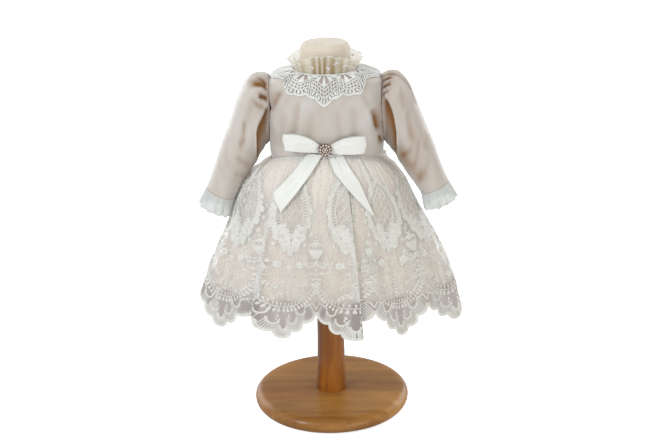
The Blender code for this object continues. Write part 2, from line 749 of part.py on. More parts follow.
def make_form():
    angle = np.arange(FORM_SIDES) / FORM_SIDES * 2 * math.pi
    rows = [ring_point(FORM_FOOT + FORM_NECK[:1], ring.level, angle) for ring in FORM_FOOT]
    levels = [435.0, 450.0, 468.0, 492.0, 516.0, 540.0, 556.0, 565.0, 570.0, 574.5]
    rows += [bodice_out(np.full(FORM_SIDES, level), angle, -CLOTH - FORM_EASE) for level in levels]
    rows += [ring_point(FORM_NECK, ring.level, angle) for ring in FORM_NECK]
    solid("form_torso", rows, "jersey")


def make_stand():
    turned("stand_post", POST_PROFILE, "wood", 24)
    turned("stand_base", BASE_PROFILE, "wood", 36)


clear_scene()
COLLECTION = bpy.data.collections.new("christening_gown")
bpy.context.scene.collection.children.link(COLLECTION)
make_bodice()
make_sleeves()
make_neck()
make_skirt()
make_bows()
make_buttons()
make_form()
make_stand()
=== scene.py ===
# A christening gown of champagne satin and embroidered tulle on a dress form stand.
# Tables are in millimetres and degrees; a mesh is turned to metres when it is made.
# Angles run round the stand from the front (-Y) towards +X.
import math

import bpy
import numpy as np
from mathutils import Matrix, Vector


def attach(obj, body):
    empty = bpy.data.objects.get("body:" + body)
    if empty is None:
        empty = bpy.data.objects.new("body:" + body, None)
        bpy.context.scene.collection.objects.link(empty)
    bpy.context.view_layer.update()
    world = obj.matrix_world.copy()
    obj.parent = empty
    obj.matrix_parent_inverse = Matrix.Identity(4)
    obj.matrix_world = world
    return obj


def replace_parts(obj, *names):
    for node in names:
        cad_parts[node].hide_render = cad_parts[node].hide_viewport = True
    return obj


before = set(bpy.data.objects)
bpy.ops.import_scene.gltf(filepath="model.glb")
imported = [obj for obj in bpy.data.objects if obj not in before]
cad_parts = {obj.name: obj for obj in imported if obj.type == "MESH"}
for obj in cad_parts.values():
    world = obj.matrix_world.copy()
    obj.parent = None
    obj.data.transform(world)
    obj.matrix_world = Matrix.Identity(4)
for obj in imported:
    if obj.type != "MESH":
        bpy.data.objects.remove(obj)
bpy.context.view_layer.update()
mm = 0.001
tau = 2 * math.pi
chance = np.random.default_rng(11)
sides = ("left", "right")
mirrored = np.array([-1, 1, 1])
print("frame loaded:", len(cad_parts), "nodes")


# Puts points (mm) and faces (a list of number arrays) into a mesh object riding on the stand.
# uv is one pair per point; period is the length after which a wrapped u starts again.
def makePiece(name, points, faces, material, uv=None, period=0.0, sharp=60, shade=None):
    mesh = bpy.data.meshes.new(name)
    sizes = np.concatenate([np.full(len(f), f.shape[1]) for f in faces])
    loops = np.concatenate([f.ravel() for f in faces]).astype(np.int32)
    starts = np.concatenate([[0], np.cumsum(sizes)[:-1]]).astype(np.int32)
    mesh.vertices.add(len(points))
    mesh.vertices.foreach_set("co", (points * mm).astype(np.float32).ravel())
    mesh.loops.add(len(loops))
    mesh.loops.foreach_set("vertex_index", loops)
    mesh.polygons.add(len(sizes))
    mesh.polygons.foreach_set("loop_start", starts)
    mesh.update(calc_edges=True)
    if uv is not None:
        flat = np.array(uv, float)[loops]
        if period:
            first = np.repeat(flat[starts, 0], sizes)
            flat[:, 0] += np.round((first - flat[:, 0]) / period) * period
        mesh.uv_layers.new(name="cloth").data.foreach_set("uv", flat.astype(np.float32).ravel())
    # shade is each point's share of painted shade, kept as the mesh's shade attribute
    if shade is not None:
        mesh.attributes.new("shade", "FLOAT", "POINT").data.foreach_set("value", shade.astype(np.float32))
    mesh.validate()
    mesh.shade_smooth()
    mesh.set_sharp_from_angle(angle=math.radians(sharp))
    piece = bpy.data.objects.new(name, mesh)
    bpy.context.scene.collection.objects.link(piece)
    mesh.materials.append(material)
    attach(piece, "root")
    return piece


# Coordinates joined into points, each spread to the shape of the rest.
def pointsOf(*coordinates):
    return np.stack(np.broadcast_arrays(*coordinates), -1)


# Distance from the first point of a path (or the first row of a grid) to each one after it.
def distanceAlong(points):
    steps = np.linalg.norm(np.diff(points, axis=0), axis=-1)
    return np.concatenate([np.zeros_like(steps[:1]), np.cumsum(steps, axis=0)])


# Even steps along a flat path: places and directions.
def evenSteps(path, count):
    along = distanceAlong(path)
    want = np.linspace(0, along[-1], count)
    place = pointsOf(*(np.interp(want, along, column) for column in path.T))
    return place, unitLong(np.gradient(place, axis=0))


# Vectors made one unit long.
def unitLong(vectors):
    return vectors / np.maximum(np.linalg.norm(vectors, axis=-1, keepdims=True), 1e-9)


# Even turns of a circle.
def evenTurns(count):
    return np.arange(count) / count * tau


# Distance between two directions, in degrees from -180 to 180.
def apart(angle, place=0.0):
    return (angle - place + 180) % 360 - 180


# Quads between neighbouring rows and columns of a grid. wrap joins the last column to the
# first, and ring joins the last row to the first.
def gridFaces(rows, columns, wrap=False, ring=False):
    number = np.arange(rows * columns).reshape(rows, columns)
    if ring:
        number = np.concatenate([number, number[:1]])
    if wrap:
        number = np.concatenate([number, number[:, :1]], axis=1)
    corners = [number[:-1, :-1], number[1:, :-1], number[1:, 1:], number[:-1, 1:]]
    return np.stack(corners, -1).reshape(-1, 4)


# Faces of a wall: one grid, the other grid turned over, and the rims that join them.
def wallFaces(rows, columns, wrap=False):
    faces = gridFaces(rows, columns, wrap)
    number = np.arange(rows * columns).reshape(rows, columns)
    whole = np.concatenate([number, number[:, :1]], axis=1) if wrap else number
    rims = [(whole[0, 1:], whole[0, :-1]), (whole[-1, :-1], whole[-1, 1:])]
    if not wrap:
        rims += [(number[:-1, 0], number[1:, 0]), (number[1:, -1], number[:-1, -1])]
    inside = rows * columns
    return np.concatenate([faces, faces[:, ::-1] + inside]
                          + [np.stack([a, b, b + inside, a + inside], -1) for a, b in rims])


# Turns faces over when, taken together, they look towards the middle instead of away from it.
# middle is one point or one for each of the mesh's points; a closed shell needs none.
def facedAway(points, faces, middle=0.0):
    a, b, c, d = (points[faces[:, k]] for k in range(4))
    away = (points - middle)[faces].mean(axis=1)
    return faces if (np.cross(c - a, d - b) * away).sum() > 0 else faces[:, ::-1]


# Several meshes, each as points and faces, joined into one.
def joined(meshes):
    shifts = np.cumsum([0] + [len(points) for points, _ in meshes])
    faces = [faces + shift for (_, faces), shift in zip(meshes, shifts)]
    return np.concatenate([points for points, _ in meshes]), np.concatenate(faces)


# Unit normals of a grid of points: the cross product of its two directions, pointing away from
# each row's middle where the grid is wrapped and from the stand's axis where it is open.
def outwardNormals(points, wrap=False):
    around = np.gradient(points, axis=1)
    if wrap:
        around = (np.roll(points, -1, axis=1) - np.roll(points, 1, axis=1)) / 2
    normal = unitLong(np.cross(np.gradient(points, axis=0), around))
    middle = points.mean(axis=1, keepdims=True) if wrap else 0.0
    return normal * np.sign((normal * (points - middle))[..., :2].sum())


# Cloth distances (metres) down and round a grid, for the weave's own map.
def clothMap(points):
    return pointsOf(distanceAlong(points[len(points) // 2]), distanceAlong(points)).reshape(-1, 2) * mm


# A thin cloth wall from one grid: the other grid lies thick mm inside it along the normals, or
# outside it where thick is less than zero. Where painted shade is given, the other grid takes an
# even 0.4 share of it.
def clothWall(name, grid, thick, material, wrap=False, shade=None):
    rows, columns = grid.shape[:2]
    other = grid - outwardNormals(grid, wrap) * thick
    points = np.concatenate([grid.reshape(-1, 3), other.reshape(-1, 3)])
    faces = facedAway(points, wallFaces(rows, columns, wrap))
    uv, period = clothMap(grid), 0.0
    if wrap:
        period = float(uv[:, 0].max() + np.linalg.norm(grid[rows // 2, 0] - grid[rows // 2, -1]) * mm)
    if shade is not None:
        shade = np.concatenate([shade.ravel(), np.full(shade.size, 0.4)])
    return makePiece(name, points, [faces], material, np.concatenate([uv, uv]), period, shade=shade)


# A closed cord round a ring of points: middle + radius·(away·cos + side·sin), where away is
# first made square to the cord's run.
def closedCord(name, ring, away, radius, corners, material, shade=None):
    run = unitLong(np.roll(ring, -1, axis=0) - np.roll(ring, 1, axis=0))
    away = unitLong(away - run * (away * run).sum(axis=1, keepdims=True))
    angle = evenTurns(corners)[:, None, None]
    points = (ring + radius * (away * np.cos(angle) + np.cross(run, away) * np.sin(angle))).reshape(-1, 3)
    faces = facedAway(points, gridFaces(corners, len(ring), True, True), np.tile(ring, (corners, 1)))
    if shade is not None:
        shade = np.full(len(points), shade)
    return makePiece(name, points, [faces], material, np.zeros((len(points), 2)), shade=shade)


# Area of a grid of points in square metres.
def gridArea(points, wrap=False):
    faces = gridFaces(points.shape[0], points.shape[1], wrap)
    flat = points.reshape(-1, 3)
    a, b, c, d = (flat[faces[:, k]] for k in range(4))
    twice = np.linalg.norm(np.cross(c - a, d - b), axis=-1)
    return float(twice.sum()) / 2 * mm * mm


# A soft curve through a table: cubic pieces whose slopes are the neighbours' mean slope.
def softCurve(places, values, at):
    places, values = np.asarray(places, float), np.asarray(values, float)
    if places[0] > places[-1]:
        places, values = places[::-1], values[::-1]
    at = np.clip(np.asarray(at, float), places[0], places[-1])
    slope = np.gradient(values, places, axis=0)
    k = np.clip(np.searchsorted(places, at) - 1, 0, len(places) - 2)
    span = places[k + 1] - places[k]
    t = (at - places[k]) / span
    if values.ndim > 1:
        t = t.reshape(t.shape + (1,) * (values.ndim - 1))
        span = span.reshape(t.shape)
    start = (1 + 2 * t) * (1 - t) ** 2 * values[k] + t * (1 - t) ** 2 * span * slope[k]
    end = t * t * (3 - 2 * t) * values[k + 1] + t * t * (t - 1) * span * slope[k + 1]
    return start + end


# Half width, front depth, back depth, squareness and lift of a ringed surface at a level.
def ringSizes(rings, level):
    table = np.array(rings, float)
    return np.moveaxis(softCurve(table[:, 0], table[:, 1:], level), -1, 0)


# Point of a ringed surface: a squared oval at each level, raised towards the front.
def ringPoint(rings, level, angle):
    level, angle = np.broadcast_arrays(np.asarray(level, float), np.asarray(angle, float))
    half, front, back, square, lift = ringSizes(rings, level)
    depth = np.where(np.cos(angle) > 0, front, back)
    reach = (np.abs(np.sin(angle)) / half) ** square + (np.abs(np.cos(angle)) / depth) ** square
    radius = reach ** (-1 / square)
    y = -radius * np.cos(angle)
    return pointsOf(radius * np.sin(angle), y, level + lift * np.clip(-y / depth, 0, 1) ** 1.3)


# Point moved towards the stand's axis.
def pressedIn(point, depth):
    plan = point * np.array([1, 1, 0])
    return point - plan / np.linalg.norm(plan, axis=-1, keepdims=True) * np.asarray(depth)[..., None]


# Soft creases on flat coordinates p, q: each runs from one place to another, with a rounded
# section (the bell curve of the distance from its line) that fades out at both ends.
def creases(p, q, table):
    total = np.zeros(np.broadcast(p, q).shape)
    for startP, startQ, endP, endQ, width, rise in table:
        runP, runQ = endP - startP, endQ - startQ
        length = math.hypot(runP, runQ)
        along = ((p - startP) * runP + (q - startQ) * runQ) / length ** 2
        away = ((p - startP) * runQ - (q - startQ) * runP) / length
        fade = np.clip(np.minimum(along + 0.12, 1.12 - along) / 0.3, 0, 1)
        fade = fade * fade * (3 - 2 * fade)
        total += rise * np.exp(-(away / width) ** 2) * fade
    return total


# Soft round spots: across, along, half widths both ways, strength.
def spots(p, q, table):
    total = np.zeros(np.broadcast(p, q).shape)
    for middleP, middleQ, wideP, wideQ, strength in table:
        total += strength * np.exp(-((p - middleP) / wideP) ** 2 - ((q - middleQ) / wideQ) ** 2)
    return total


# Drift made of a few sines with unrelated lengths, because cloth is never quite regular.
def uneven(p, q, size, seed):
    turn = seed * 1.7
    waves = np.sin(p / size + turn) * np.cos(q / size * 0.8 + turn * 2.1)
    waves = waves + 0.6 * np.sin(p / size * 1.9 + q / size * 0.7 + turn * 0.4)
    return waves + 0.4 * np.cos(q / size * 2.3 - p / size * 0.9 + turn * 3.3)


# "#d8ccc0" as linear red, green, blue and 1.
def linear(hexColour):
    parts = [int(hexColour[k:k + 2], 16) / 255 for k in (1, 3, 5)]
    return [c / 12.92 if c < 0.04045 else ((c + 0.055) / 1.055) ** 2.4 for c in parts] + [1.0]


# Links outputs into a node's inputs.
def connect(tree, node, links):
    for name, source in links.items():
        tree.links.new(source, node.inputs[name])


# Adds one node with its settings (properties or inputs) and the links into it.
def addNode(tree, kind, settings=None, links=None):
    node = tree.nodes.new("ShaderNode" + kind)
    for name, value in (settings or {}).items():
        if isinstance(name, str) and hasattr(node, name):
            setattr(node, name, value)
        else:
            node.inputs[name].default_value = value
    connect(tree, node, links or {})
    return node


# A new material: its node tree, its shader and its shader's plain values, and the outputs for
# Object coordinates and for the piece's own map.
def startMaterial(name, values):
    material = bpy.data.materials.new(name)
    material.use_nodes = True
    tree = material.node_tree
    shader = tree.nodes["Principled BSDF"]
    for key, value in values.items():
        shader.inputs[key].default_value = value
    place = addNode(tree, "TexCoord")
    return material, tree, shader, place.outputs["Object"], place.outputs["UV"]


bandGap = 0.314   # metres between the bands of a wave texture whose scale is 1


# Woven cloth. thread is the spacing in metres; the weave is a bump of two crossed waves on the
# cloth's own map, tone drifts softly over a hand's width, and roughness drifts with it. fold is
# the painted shade colour, mixed into the hollows and shaded places by the mesh's shade attribute.
def clothMaterial(name, light, dark, thread, roughness, sheen, bump, streak=(1.0, 1.0), drift=14.0,
                  fold=None):
    material, tree, shader, _, onCloth = startMaterial(name, {
        "Sheen Weight": sheen, "Sheen Roughness": 0.35, "Sheen Tint": (0.9, 0.96, 1.0, 1.0),
        "Specular IOR Level": 0.4})
    drawn = addNode(tree, "Mapping", {"Scale": (*streak, 1)}, {"Vector": onCloth})
    tone = addNode(tree, "TexNoise", {"Scale": drift, "Detail": 4.0, "Roughness": 0.55},
                   {"Vector": drawn.outputs[0]})
    spread = addNode(tree, "MapRange", {1: 0.32, 2: 0.68}, {0: tone.outputs["Fac"]})
    colour = addNode(tree, "Mix", {"data_type": "RGBA", 6: linear(dark), 7: linear(light)},
                     {0: spread.outputs[0]})
    if fold:
        # painted shade: the mesh's shade attribute mixes the fold colour in
        valley = addNode(tree, "Attribute", {"attribute_name": "shade"})
        colour = addNode(tree, "Mix", {"data_type": "RGBA", 7: linear(fold)},
                         {0: valley.outputs["Fac"], 6: colour.outputs[2]})
    warp, weft = (addNode(tree, "TexWave", {
        "bands_direction": way, "Scale": bandGap / thread, "Distortion": 0.6}, {"Vector": onCloth})
        for way in "XY")
    weave = addNode(tree, "Math", {"operation": "MULTIPLY"}, {0: warp.outputs["Fac"], 1: weft.outputs["Fac"]})
    raised = addNode(tree, "Bump", {"Strength": bump, "Distance": thread * 0.4}, {"Height": weave.outputs[0]})
    rough = addNode(tree, "MapRange", {3: roughness + 0.06, 4: roughness - 0.06}, {0: tone.outputs["Fac"]})
    connect(tree, shader, {"Base Color": colour.outputs[2], "Roughness": rough.outputs[0],
                           "Normal": raised.outputs[0]})
    return material


# Net: a see-through film whose cover rises and falls with a hexagonal mesh. Real net is 1.2 mm,
# too fine to show, so its cells are drawn at 2 mm. dense is how much thicker the gathers make it
# at the seam, and under is a painted shade colour that the mesh's shade attribute mixes in with a
# denser cover: the shadowed inside of the unlined skirt, or the hollows of the neck frill's gathers.
def netMaterial(name, colour, cover, under, cell=0.002, streak=(1.0, 1.0), dense=1.0):
    material, tree, shader, _, onCloth = startMaterial(name, {
        "Base Color": linear(colour), "Roughness": 0.75, "Sheen Weight": 0.3, "Specular IOR Level": 0.2})
    mesh = addNode(tree, "TexVoronoi", {"feature": "DISTANCE_TO_EDGE", "Scale": 1 / cell},
                   {"Vector": onCloth})
    thread = addNode(tree, "MapRange", {1: 0.0, 2: 0.32, 3: 1.25, 4: 0.75}, {0: mesh.outputs["Distance"]})
    drawn = addNode(tree, "Mapping", {"Scale": (*streak, 1)}, {"Vector": onCloth})
    cloud = addNode(tree, "TexNoise", {"Scale": 22.0, "Detail": 3.0}, {"Vector": drawn.outputs[0]})
    patch = addNode(tree, "MapRange", {1: 0.3, 2: 0.7, 3: cover * 0.8, 4: cover * 1.2},
                    {0: cloud.outputs["Fac"]})
    split = addNode(tree, "SeparateXYZ", {}, {"Vector": onCloth})
    gathers = addNode(tree, "MapRange", {1: 0.0, 2: 0.09, 3: dense, 4: 1.0}, {0: split.outputs["Y"]})
    covered = addNode(tree, "Math", {"operation": "MULTIPLY"}, {0: patch.outputs[0], 1: gathers.outputs[0]})
    alpha = addNode(tree, "Math", {"operation": "MULTIPLY"}, {0: thread.outputs[0], 1: covered.outputs[0]})
    # a third of the light that meets a thread goes on through it
    through = addNode(tree, "BsdfTranslucent", {"Color": linear(colour)})
    if under:
        # painted shade: the shade attribute mixes in the under colour and thickens the cover
        underShade = addNode(tree, "Attribute", {"attribute_name": "shade"})
        tint = addNode(tree, "Mix", {"data_type": "RGBA", 6: linear(colour), 7: linear(under)},
                       {0: underShade.outputs["Fac"]})
        alpha = addNode(tree, "Math", {"operation": "MULTIPLY_ADD", 1: 0.42},
                        {0: underShade.outputs["Fac"], 2: alpha.outputs[0]})
        connect(tree, shader, {"Base Color": tint.outputs[2]})
        connect(tree, through, {"Color": tint.outputs[2]})
    threads = addNode(tree, "MixShader", {0: 0.35}, {1: shader.outputs[0], 2: through.outputs[0]})
    holes = addNode(tree, "BsdfTransparent")
    film = addNode(tree, "MixShader", {}, {0: alpha.outputs[0], 1: holes.outputs[0], 2: threads.outputs[0]})
    connect(tree, tree.nodes["Material Output"], {"Surface": film.outputs[0]})
    return material


# Embroidery or lace yarn. stitch is the spacing in metres of the stitches that cross each
# stroke; on the strokes' own map u runs along the stroke.
def yarnMaterial(name, light, dark, stitch, roughness, bump):
    material, tree, shader, onPiece, onCloth = startMaterial(name, {
        "Roughness": roughness, "Sheen Weight": 0.35, "Specular IOR Level": 0.35})
    rows = addNode(tree, "TexWave", {"bands_direction": "X", "Scale": bandGap / stitch, "Distortion": 0.8},
                   {"Vector": onCloth})
    raised = addNode(tree, "Bump", {"Strength": bump, "Distance": stitch * 0.35},
                     {"Height": rows.outputs["Fac"]})
    tone = addNode(tree, "TexNoise", {"Scale": 60.0, "Detail": 3.0}, {"Vector": onPiece})
    spread = addNode(tree, "MapRange", {1: 0.35, 2: 0.65}, {0: tone.outputs["Fac"]})
    colour = addNode(tree, "Mix", {"data_type": "RGBA", 6: linear(dark), 7: linear(light)},
                     {0: spread.outputs[0]})
    connect(tree, shader, {"Base Color": colour.outputs[2], "Normal": raised.outputs[0]})
    return material


# Beech turned and varnished: straight grain along Z on the post and along X on the base, fine
# pores 1 mm wide and 20 mm long, under a clear gloss coat.
def woodMaterial(name, light, dark, deep, grain):
    material, tree, shader, onPiece, _ = startMaterial(name, {
        "Roughness": 0.4, "Coat Weight": 0.2, "Coat Roughness": 0.1, "Specular IOR Level": 0.3})
    long = addNode(tree, "Mapping", {"Scale": grain}, {"Vector": onPiece}).outputs[0]
    bands = addNode(tree, "TexNoise", {"Scale": 46.0, "Detail": 6.0, "Roughness": 0.62, "Distortion": 0.7},
                    {"Vector": long})
    broad = addNode(tree, "TexNoise", {"Scale": 12.0, "Detail": 2.0}, {"Vector": long})
    pores = addNode(tree, "TexNoise", {"Scale": 420.0, "Detail": 2.0}, {"Vector": long})
    even = addNode(tree, "MapRange", {1: 0.3, 2: 0.7}, {0: bands.outputs["Fac"]})
    wide = addNode(tree, "MapRange", {1: 0.35, 2: 0.7}, {0: broad.outputs["Fac"]})
    dots = addNode(tree, "MapRange", {1: 0.6, 2: 0.72, 4: 0.5}, {0: pores.outputs["Fac"]})
    colour = addNode(tree, "Mix", {"data_type": "RGBA", 6: linear(dark), 7: linear(light)},
                     {0: even.outputs[0]})
    warmer = addNode(tree, "Mix", {"data_type": "RGBA", "blend_type": "MULTIPLY", 0: 0.5, 7: linear(deep)},
                     {6: colour.outputs[2]})
    both = addNode(tree, "Mix", {"data_type": "RGBA"},
                   {0: wide.outputs[0], 6: warmer.outputs[2], 7: colour.outputs[2]})
    pored = addNode(tree, "Mix", {"data_type": "RGBA", 7: linear(deep)},
                    {0: dots.outputs[0], 6: both.outputs[2]})
    raised = addNode(tree, "Bump", {"Strength": 0.12, "Distance": 0.0004}, {"Height": bands.outputs["Fac"]})
    connect(tree, shader, {"Base Color": pored.outputs[2], "Normal": raised.outputs[0]})
    return material


# Small hard parts: two colours mixed by one texture on Object coordinates.
def hardMaterial(name, values, first, second, texture, settings, output):
    material, tree, shader, onPiece, _ = startMaterial(name, values)
    pattern = addNode(tree, texture, settings, {"Vector": onPiece})
    colour = addNode(tree, "Mix", {"data_type": "RGBA", 6: linear(first), 7: linear(second)},
                     {0: pattern.outputs[output]})
    connect(tree, shader, {"Base Color": colour.outputs[2]})
    return material


# Crepe-back satin, polyester, piece dyed: a soft sheen, and a weave seen only as a bloom.
# its fold colour, a dark brown, is painted shade for creases, hollows and under the collar
satinCrepe = clothMaterial("crepeSatin", "#c3bfba", "#b9b0a6", 0.0008, 0.4, 0.8, 0.2, fold="#805424")
# Acetate taffeta lining: plainer and pinker than the satin.
# its fold colour, a warm tan, is painted shade for the folds' hollows and behind the pleats
liningTaffeta = clothMaterial("acetateTaffeta", "#efe9df", "#e8e0d4", 0.0008, 0.55, 0.15, 0.2, fold="#c4a27c")
# Linen-look ribbon: matt ivory with slubs that run along its length.
slubRibbon = clothMaterial("slubRibbon", "#e7e9e6", "#d9d9d3", 0.0012, 0.62, 0.3, 0.35, (8.0, 260.0), 3.0)
# Cotton jersey on the form: fine wales 1 mm apart.
cottonJersey = clothMaterial("cottonJersey", "#dcd2c3", "#d2c6b5", 0.0012, 0.85, 0.3, 0.4)
# Nylon tulle of the skirt, the neck frill and the cuffs.
# the skirt net's under colour is a painted grey shade, the neck frill's a painted tan shade
skirtTulle = netMaterial("nylonTulle", "#f3f3f1", 0.5, "#b0a8a3", streak=(2.6, 0.3), dense=1.5)
neckTulle = netMaterial("creamTulle", "#efece1", 0.66, "#9c8454")
cuffTulle = netMaterial("whiteTulle", "#d6d9d7", 0.94, None)
# Viscose embroidery: bright ivory satin stitch. Real stitches are 0.3 mm; drawn at 0.9 mm.
viscoseThread = yarnMaterial("viscoseEmbroidery", "#dad9d3", "#d1d0c9", 0.0009, 0.5, 0.45)
# Cotton guipure: the same stitch, matt.
guipureCotton = yarnMaterial("cottonGuipure", "#e4e6e4", "#d6d7d2", 0.0009, 0.7, 0.4)
# Sewing thread, polyester, a shade darker than the satin.
sewingThread = yarnMaterial("sewingThread", "#d2c3b2", "#c6b6a4", 0.0009, 0.6, 0.3)
# Beech, turned and varnished honey brown.
beechPost = woodMaterial("varnishedBeechPost", "#ae6c1c", "#80440c", "#482004", (1.0, 1.0, 0.08))
beechBase = woodMaterial("varnishedBeechBase", "#ba8842", "#9a6226", "#5c320e", (0.1, 1.0, 1.0))
# Antique brass setting, cast and worn brighter in patches.
antiqueBrass = hardMaterial("antiqueBrass", {
    "Metallic": 1.0, "Roughness": 0.3}, "#4c3a31", "#a08b7c", "TexNoise",
    {"Scale": 700.0, "Detail": 3.0}, "Fac")
# Rose glass stones, pressed and foiled: painted reflections, lighter and darker patches in a cell pattern,
# stand for their facets.
roseGlass = hardMaterial("roseGlassStone", {
    "Roughness": 0.06, "Specular IOR Level": 0.9, "Coat Weight": 1.0, "Coat Roughness": 0.02,
    "Metallic": 0.35}, "#fbf3ee", "#b79d93", "TexVoronoi", {"Scale": 900.0}, "Color")
# Cast polyester button, pearly: soft clouds under a gloss coat.
pearlPolyester = hardMaterial("pearlPolyester", {
    "Roughness": 0.28, "Coat Weight": 0.6, "Coat Roughness": 0.08}, "#e6dccb", "#f8f3e8", "TexNoise",
    {"Scale": 260.0, "Detail": 2.0, "Distortion": 1.2}, "Fac")
print("materials made")


bodiceCut = {
    "clothThick": 0.9, "columns": {"front": 150, "back": 76},
    "flat": {"front": (0.235, 0.175), "back": (0.125, 0.175)},
    "rings": [  # level, half width, front, back, squareness, lift of the front
        (433, 88.0, 64.0, 62.0, 2.6, 22), (445, 90.0, 65.0, 62.5, 2.7, 20),
        (460, 90.5, 66.0, 63.0, 2.8, 16), (486, 90.5, 67.0, 63.0, 3.0, 10),
        (514, 89.5, 66.0, 62.0, 3.1, 5), (540, 89.0, 62.5, 60.0, 3.1, 1),
        (556, 88.5, 59.0, 57.0, 3.0, 0), (565, 87.0, 56.0, 54.0, 2.9, 0),
        (570, 82.0, 53.0, 51.0, 2.7, 0), (575, 70.0, 49.5, 48.0, 2.5, 0),
        (580, 50.0, 45.0, 44.0, 2.2, -2)],
    "waist": 433.0, "neck": 580.0,
    # the collar's edge, in whose shadow the satin lies: degrees from the front, level
    "collarEdge": [
        (0, 530), (13, 543.5), (25, 550.5), (40, 550), (46, 553), (51, 561.5), (56, 570.5), (64, 571),
        (78, 568.5), (90, 568), (104, 569), (118, 571), (126, 570.5), (132, 562), (138, 554), (146, 551),
        (162, 551.5), (172, 555), (180, 563)],
    "armholeLevel": 514.0, "armholeHalfHeight": 54.0, "armholeHalfDepth": 30.0, "seam": 0.3,
    # across, level, across, level, half width, rise: drag lines and soft folds of the front
    "frontCreases": [
        (75, 522, 81, 486, 4.6, -3.9), (80, 512, 85, 474, 4.4, -2.6), (66, 522, 73, 484, 3.4, 1.5),
        (85, 488, 83, 476, 2.6, 2.2), (84, 472, 88, 462, 2.6, -4.0), (-58, 548, -83, 496, 4.4, 1.9),
        (-68, 552, -87, 516, 5.0, -2.6), (-62, 520, -72, 456, 6.0, -1.0), (-66, 552, -77, 470, 5.0, 0.7),
        (-38, 540, -50, 462, 7.0, -2.0), (-28, 536, -38, 470, 7.0, 1.4), (-19, 524, -27, 458, 7.5, -1.4),
        (19, 520, 24, 458, 7.0, -1.3), (8, 524, 8, 470, 7.0, 1.0), (42, 530, 48, 456, 7.0, -1.6),
        (33, 528, 36, 470, 6.0, 1.0), (60, 548, 70, 528, 5.0, -1.2), (-52, 566, -76, 546, 4.6, -1.2),
        (-84, 488, -78, 452, 4.6, -1.2), (30, 468, 60, 456, 4.0, -1.0), (-30, 468, -62, 456, 4.0, -1.0)],
    # where the satin lies deeper in the shade: across, level, half widths, strength
    "frontSpots": [
        (81, 504, 6.5, 19, 0.2), (85, 465, 4, 8, 0.95), (84, 486, 5, 12, 0.2), (-80, 538, 8, 16, 0.3),
        (-84, 500, 5, 24, 0.12), (-68, 508, 9, 44, 0.1), (-62, 548, 10, 14, 0.12)],
    "backSpots": [(-82, 530, 8, 16, 0.2), (82, 530, 8, 16, 0.2)],
    "backCreases": [
        (-74, 528, -84, 488, 4.0, -2.2), (76, 526, 86, 486, 4.0, -2.0), (-46, 540, -34, 478, 6.0, -0.8),
        (42, 536, 34, 474, 6.0, -0.8), (-18, 520, -14, 470, 5.0, -0.6), (16, 512, 20, 468, 5.0, -0.6),
        (64, 550, 76, 528, 4.0, -0.9), (-62, 552, -76, 530, 4.0, -0.9)],
}


waist, neck = bodiceCut["waist"], bodiceCut["neck"]


def bodicePoint(level, angle):
    return ringPoint(bodiceCut["rings"], level, angle)


# Bodice surface moved out along its normal; past the table's ends it keeps the last normal.
def bodiceOut(level, angle, distance):
    inside = np.clip(level, waist + 0.03, neck - 0.03)
    across = bodicePoint(inside, angle + 0.0005) - bodicePoint(inside, angle - 0.0005)
    up = bodicePoint(inside + 0.02, angle) - bodicePoint(inside - 0.02, angle)
    return bodicePoint(level, angle) + unitLong(np.cross(across, up)) * np.asarray(distance)[..., None]


# Angle at which a bodice ring meets the armhole's oval, or the side line above and below it.
def armholeAngle(level, behind=False):
    cut = bodiceCut
    half, front, back, square, _ = ringSizes(cut["rings"], level)
    rise = np.clip((level - cut["armholeLevel"]) / cut["armholeHalfHeight"], -1, 1)
    gap = np.maximum(cut["armholeHalfDepth"] * np.sqrt(1 - rise ** 2), cut["seam"] / 2)
    return np.arctan2(half * (1 - (gap / (back if behind else front)) ** square) ** (1 / square), gap)


# Level of the collar's edge at a number of degrees from the front.
def collarEdge(degrees):
    away, level = np.array(bodiceCut["collarEdge"], float).T
    return np.interp(np.abs(degrees), away, level)


# A bodice panel between two edge angles at every level, with its creases, a pucker of 0.4 mm
# beside each seam, painted shade in the creases' hollows and at its table's spots, and painted
# shade under the collar.
def bodicePanel(name, node, levels, start, end, part):
    columns = bodiceCut["columns"][part]
    share = np.linspace(0, 1, columns)
    angle = start[:, None] + (end - start)[:, None] * share
    level = np.repeat(levels[:, None], columns, axis=1)
    across = bodicePoint(level, angle)[..., 0]
    out = creases(across, level, bodiceCut[part + "Creases"])
    shade = np.clip(-out / 6.5, 0, 1) ** 1.2 + spots(across, level, bodiceCut[part + "Spots"])
    out = out + 0.22 * uneven(across, level, 19.0, len(name))
    quiet = np.clip((564 - level) / 14, 0, 1) * np.clip((level - 434) / 8, 0, 1)
    edge = np.minimum(share, 1 - share) * columns
    pucker = 0.4 * np.exp(-edge / 2.2) * np.sin(level * 0.95 + 0.8 * np.sin(level * 0.21))
    points = bodiceOut(level, angle, out * quiet + pucker * np.clip((548 - level) / 20, 0, 1))
    # painted shade under the collar's lace, from 0.5 mm inside its edge
    under = np.clip((level - collarEdge(np.degrees(angle)) - 0.5) / 1.5, 0, 1)
    piece = clothWall(name, points, bodiceCut["clothThick"], satinCrepe,
                      shade=np.maximum(shade * quiet, 0.36 * under))
    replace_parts(piece, node)
    print("bodice panel made", name, round(gridArea(points), 4))
    return points


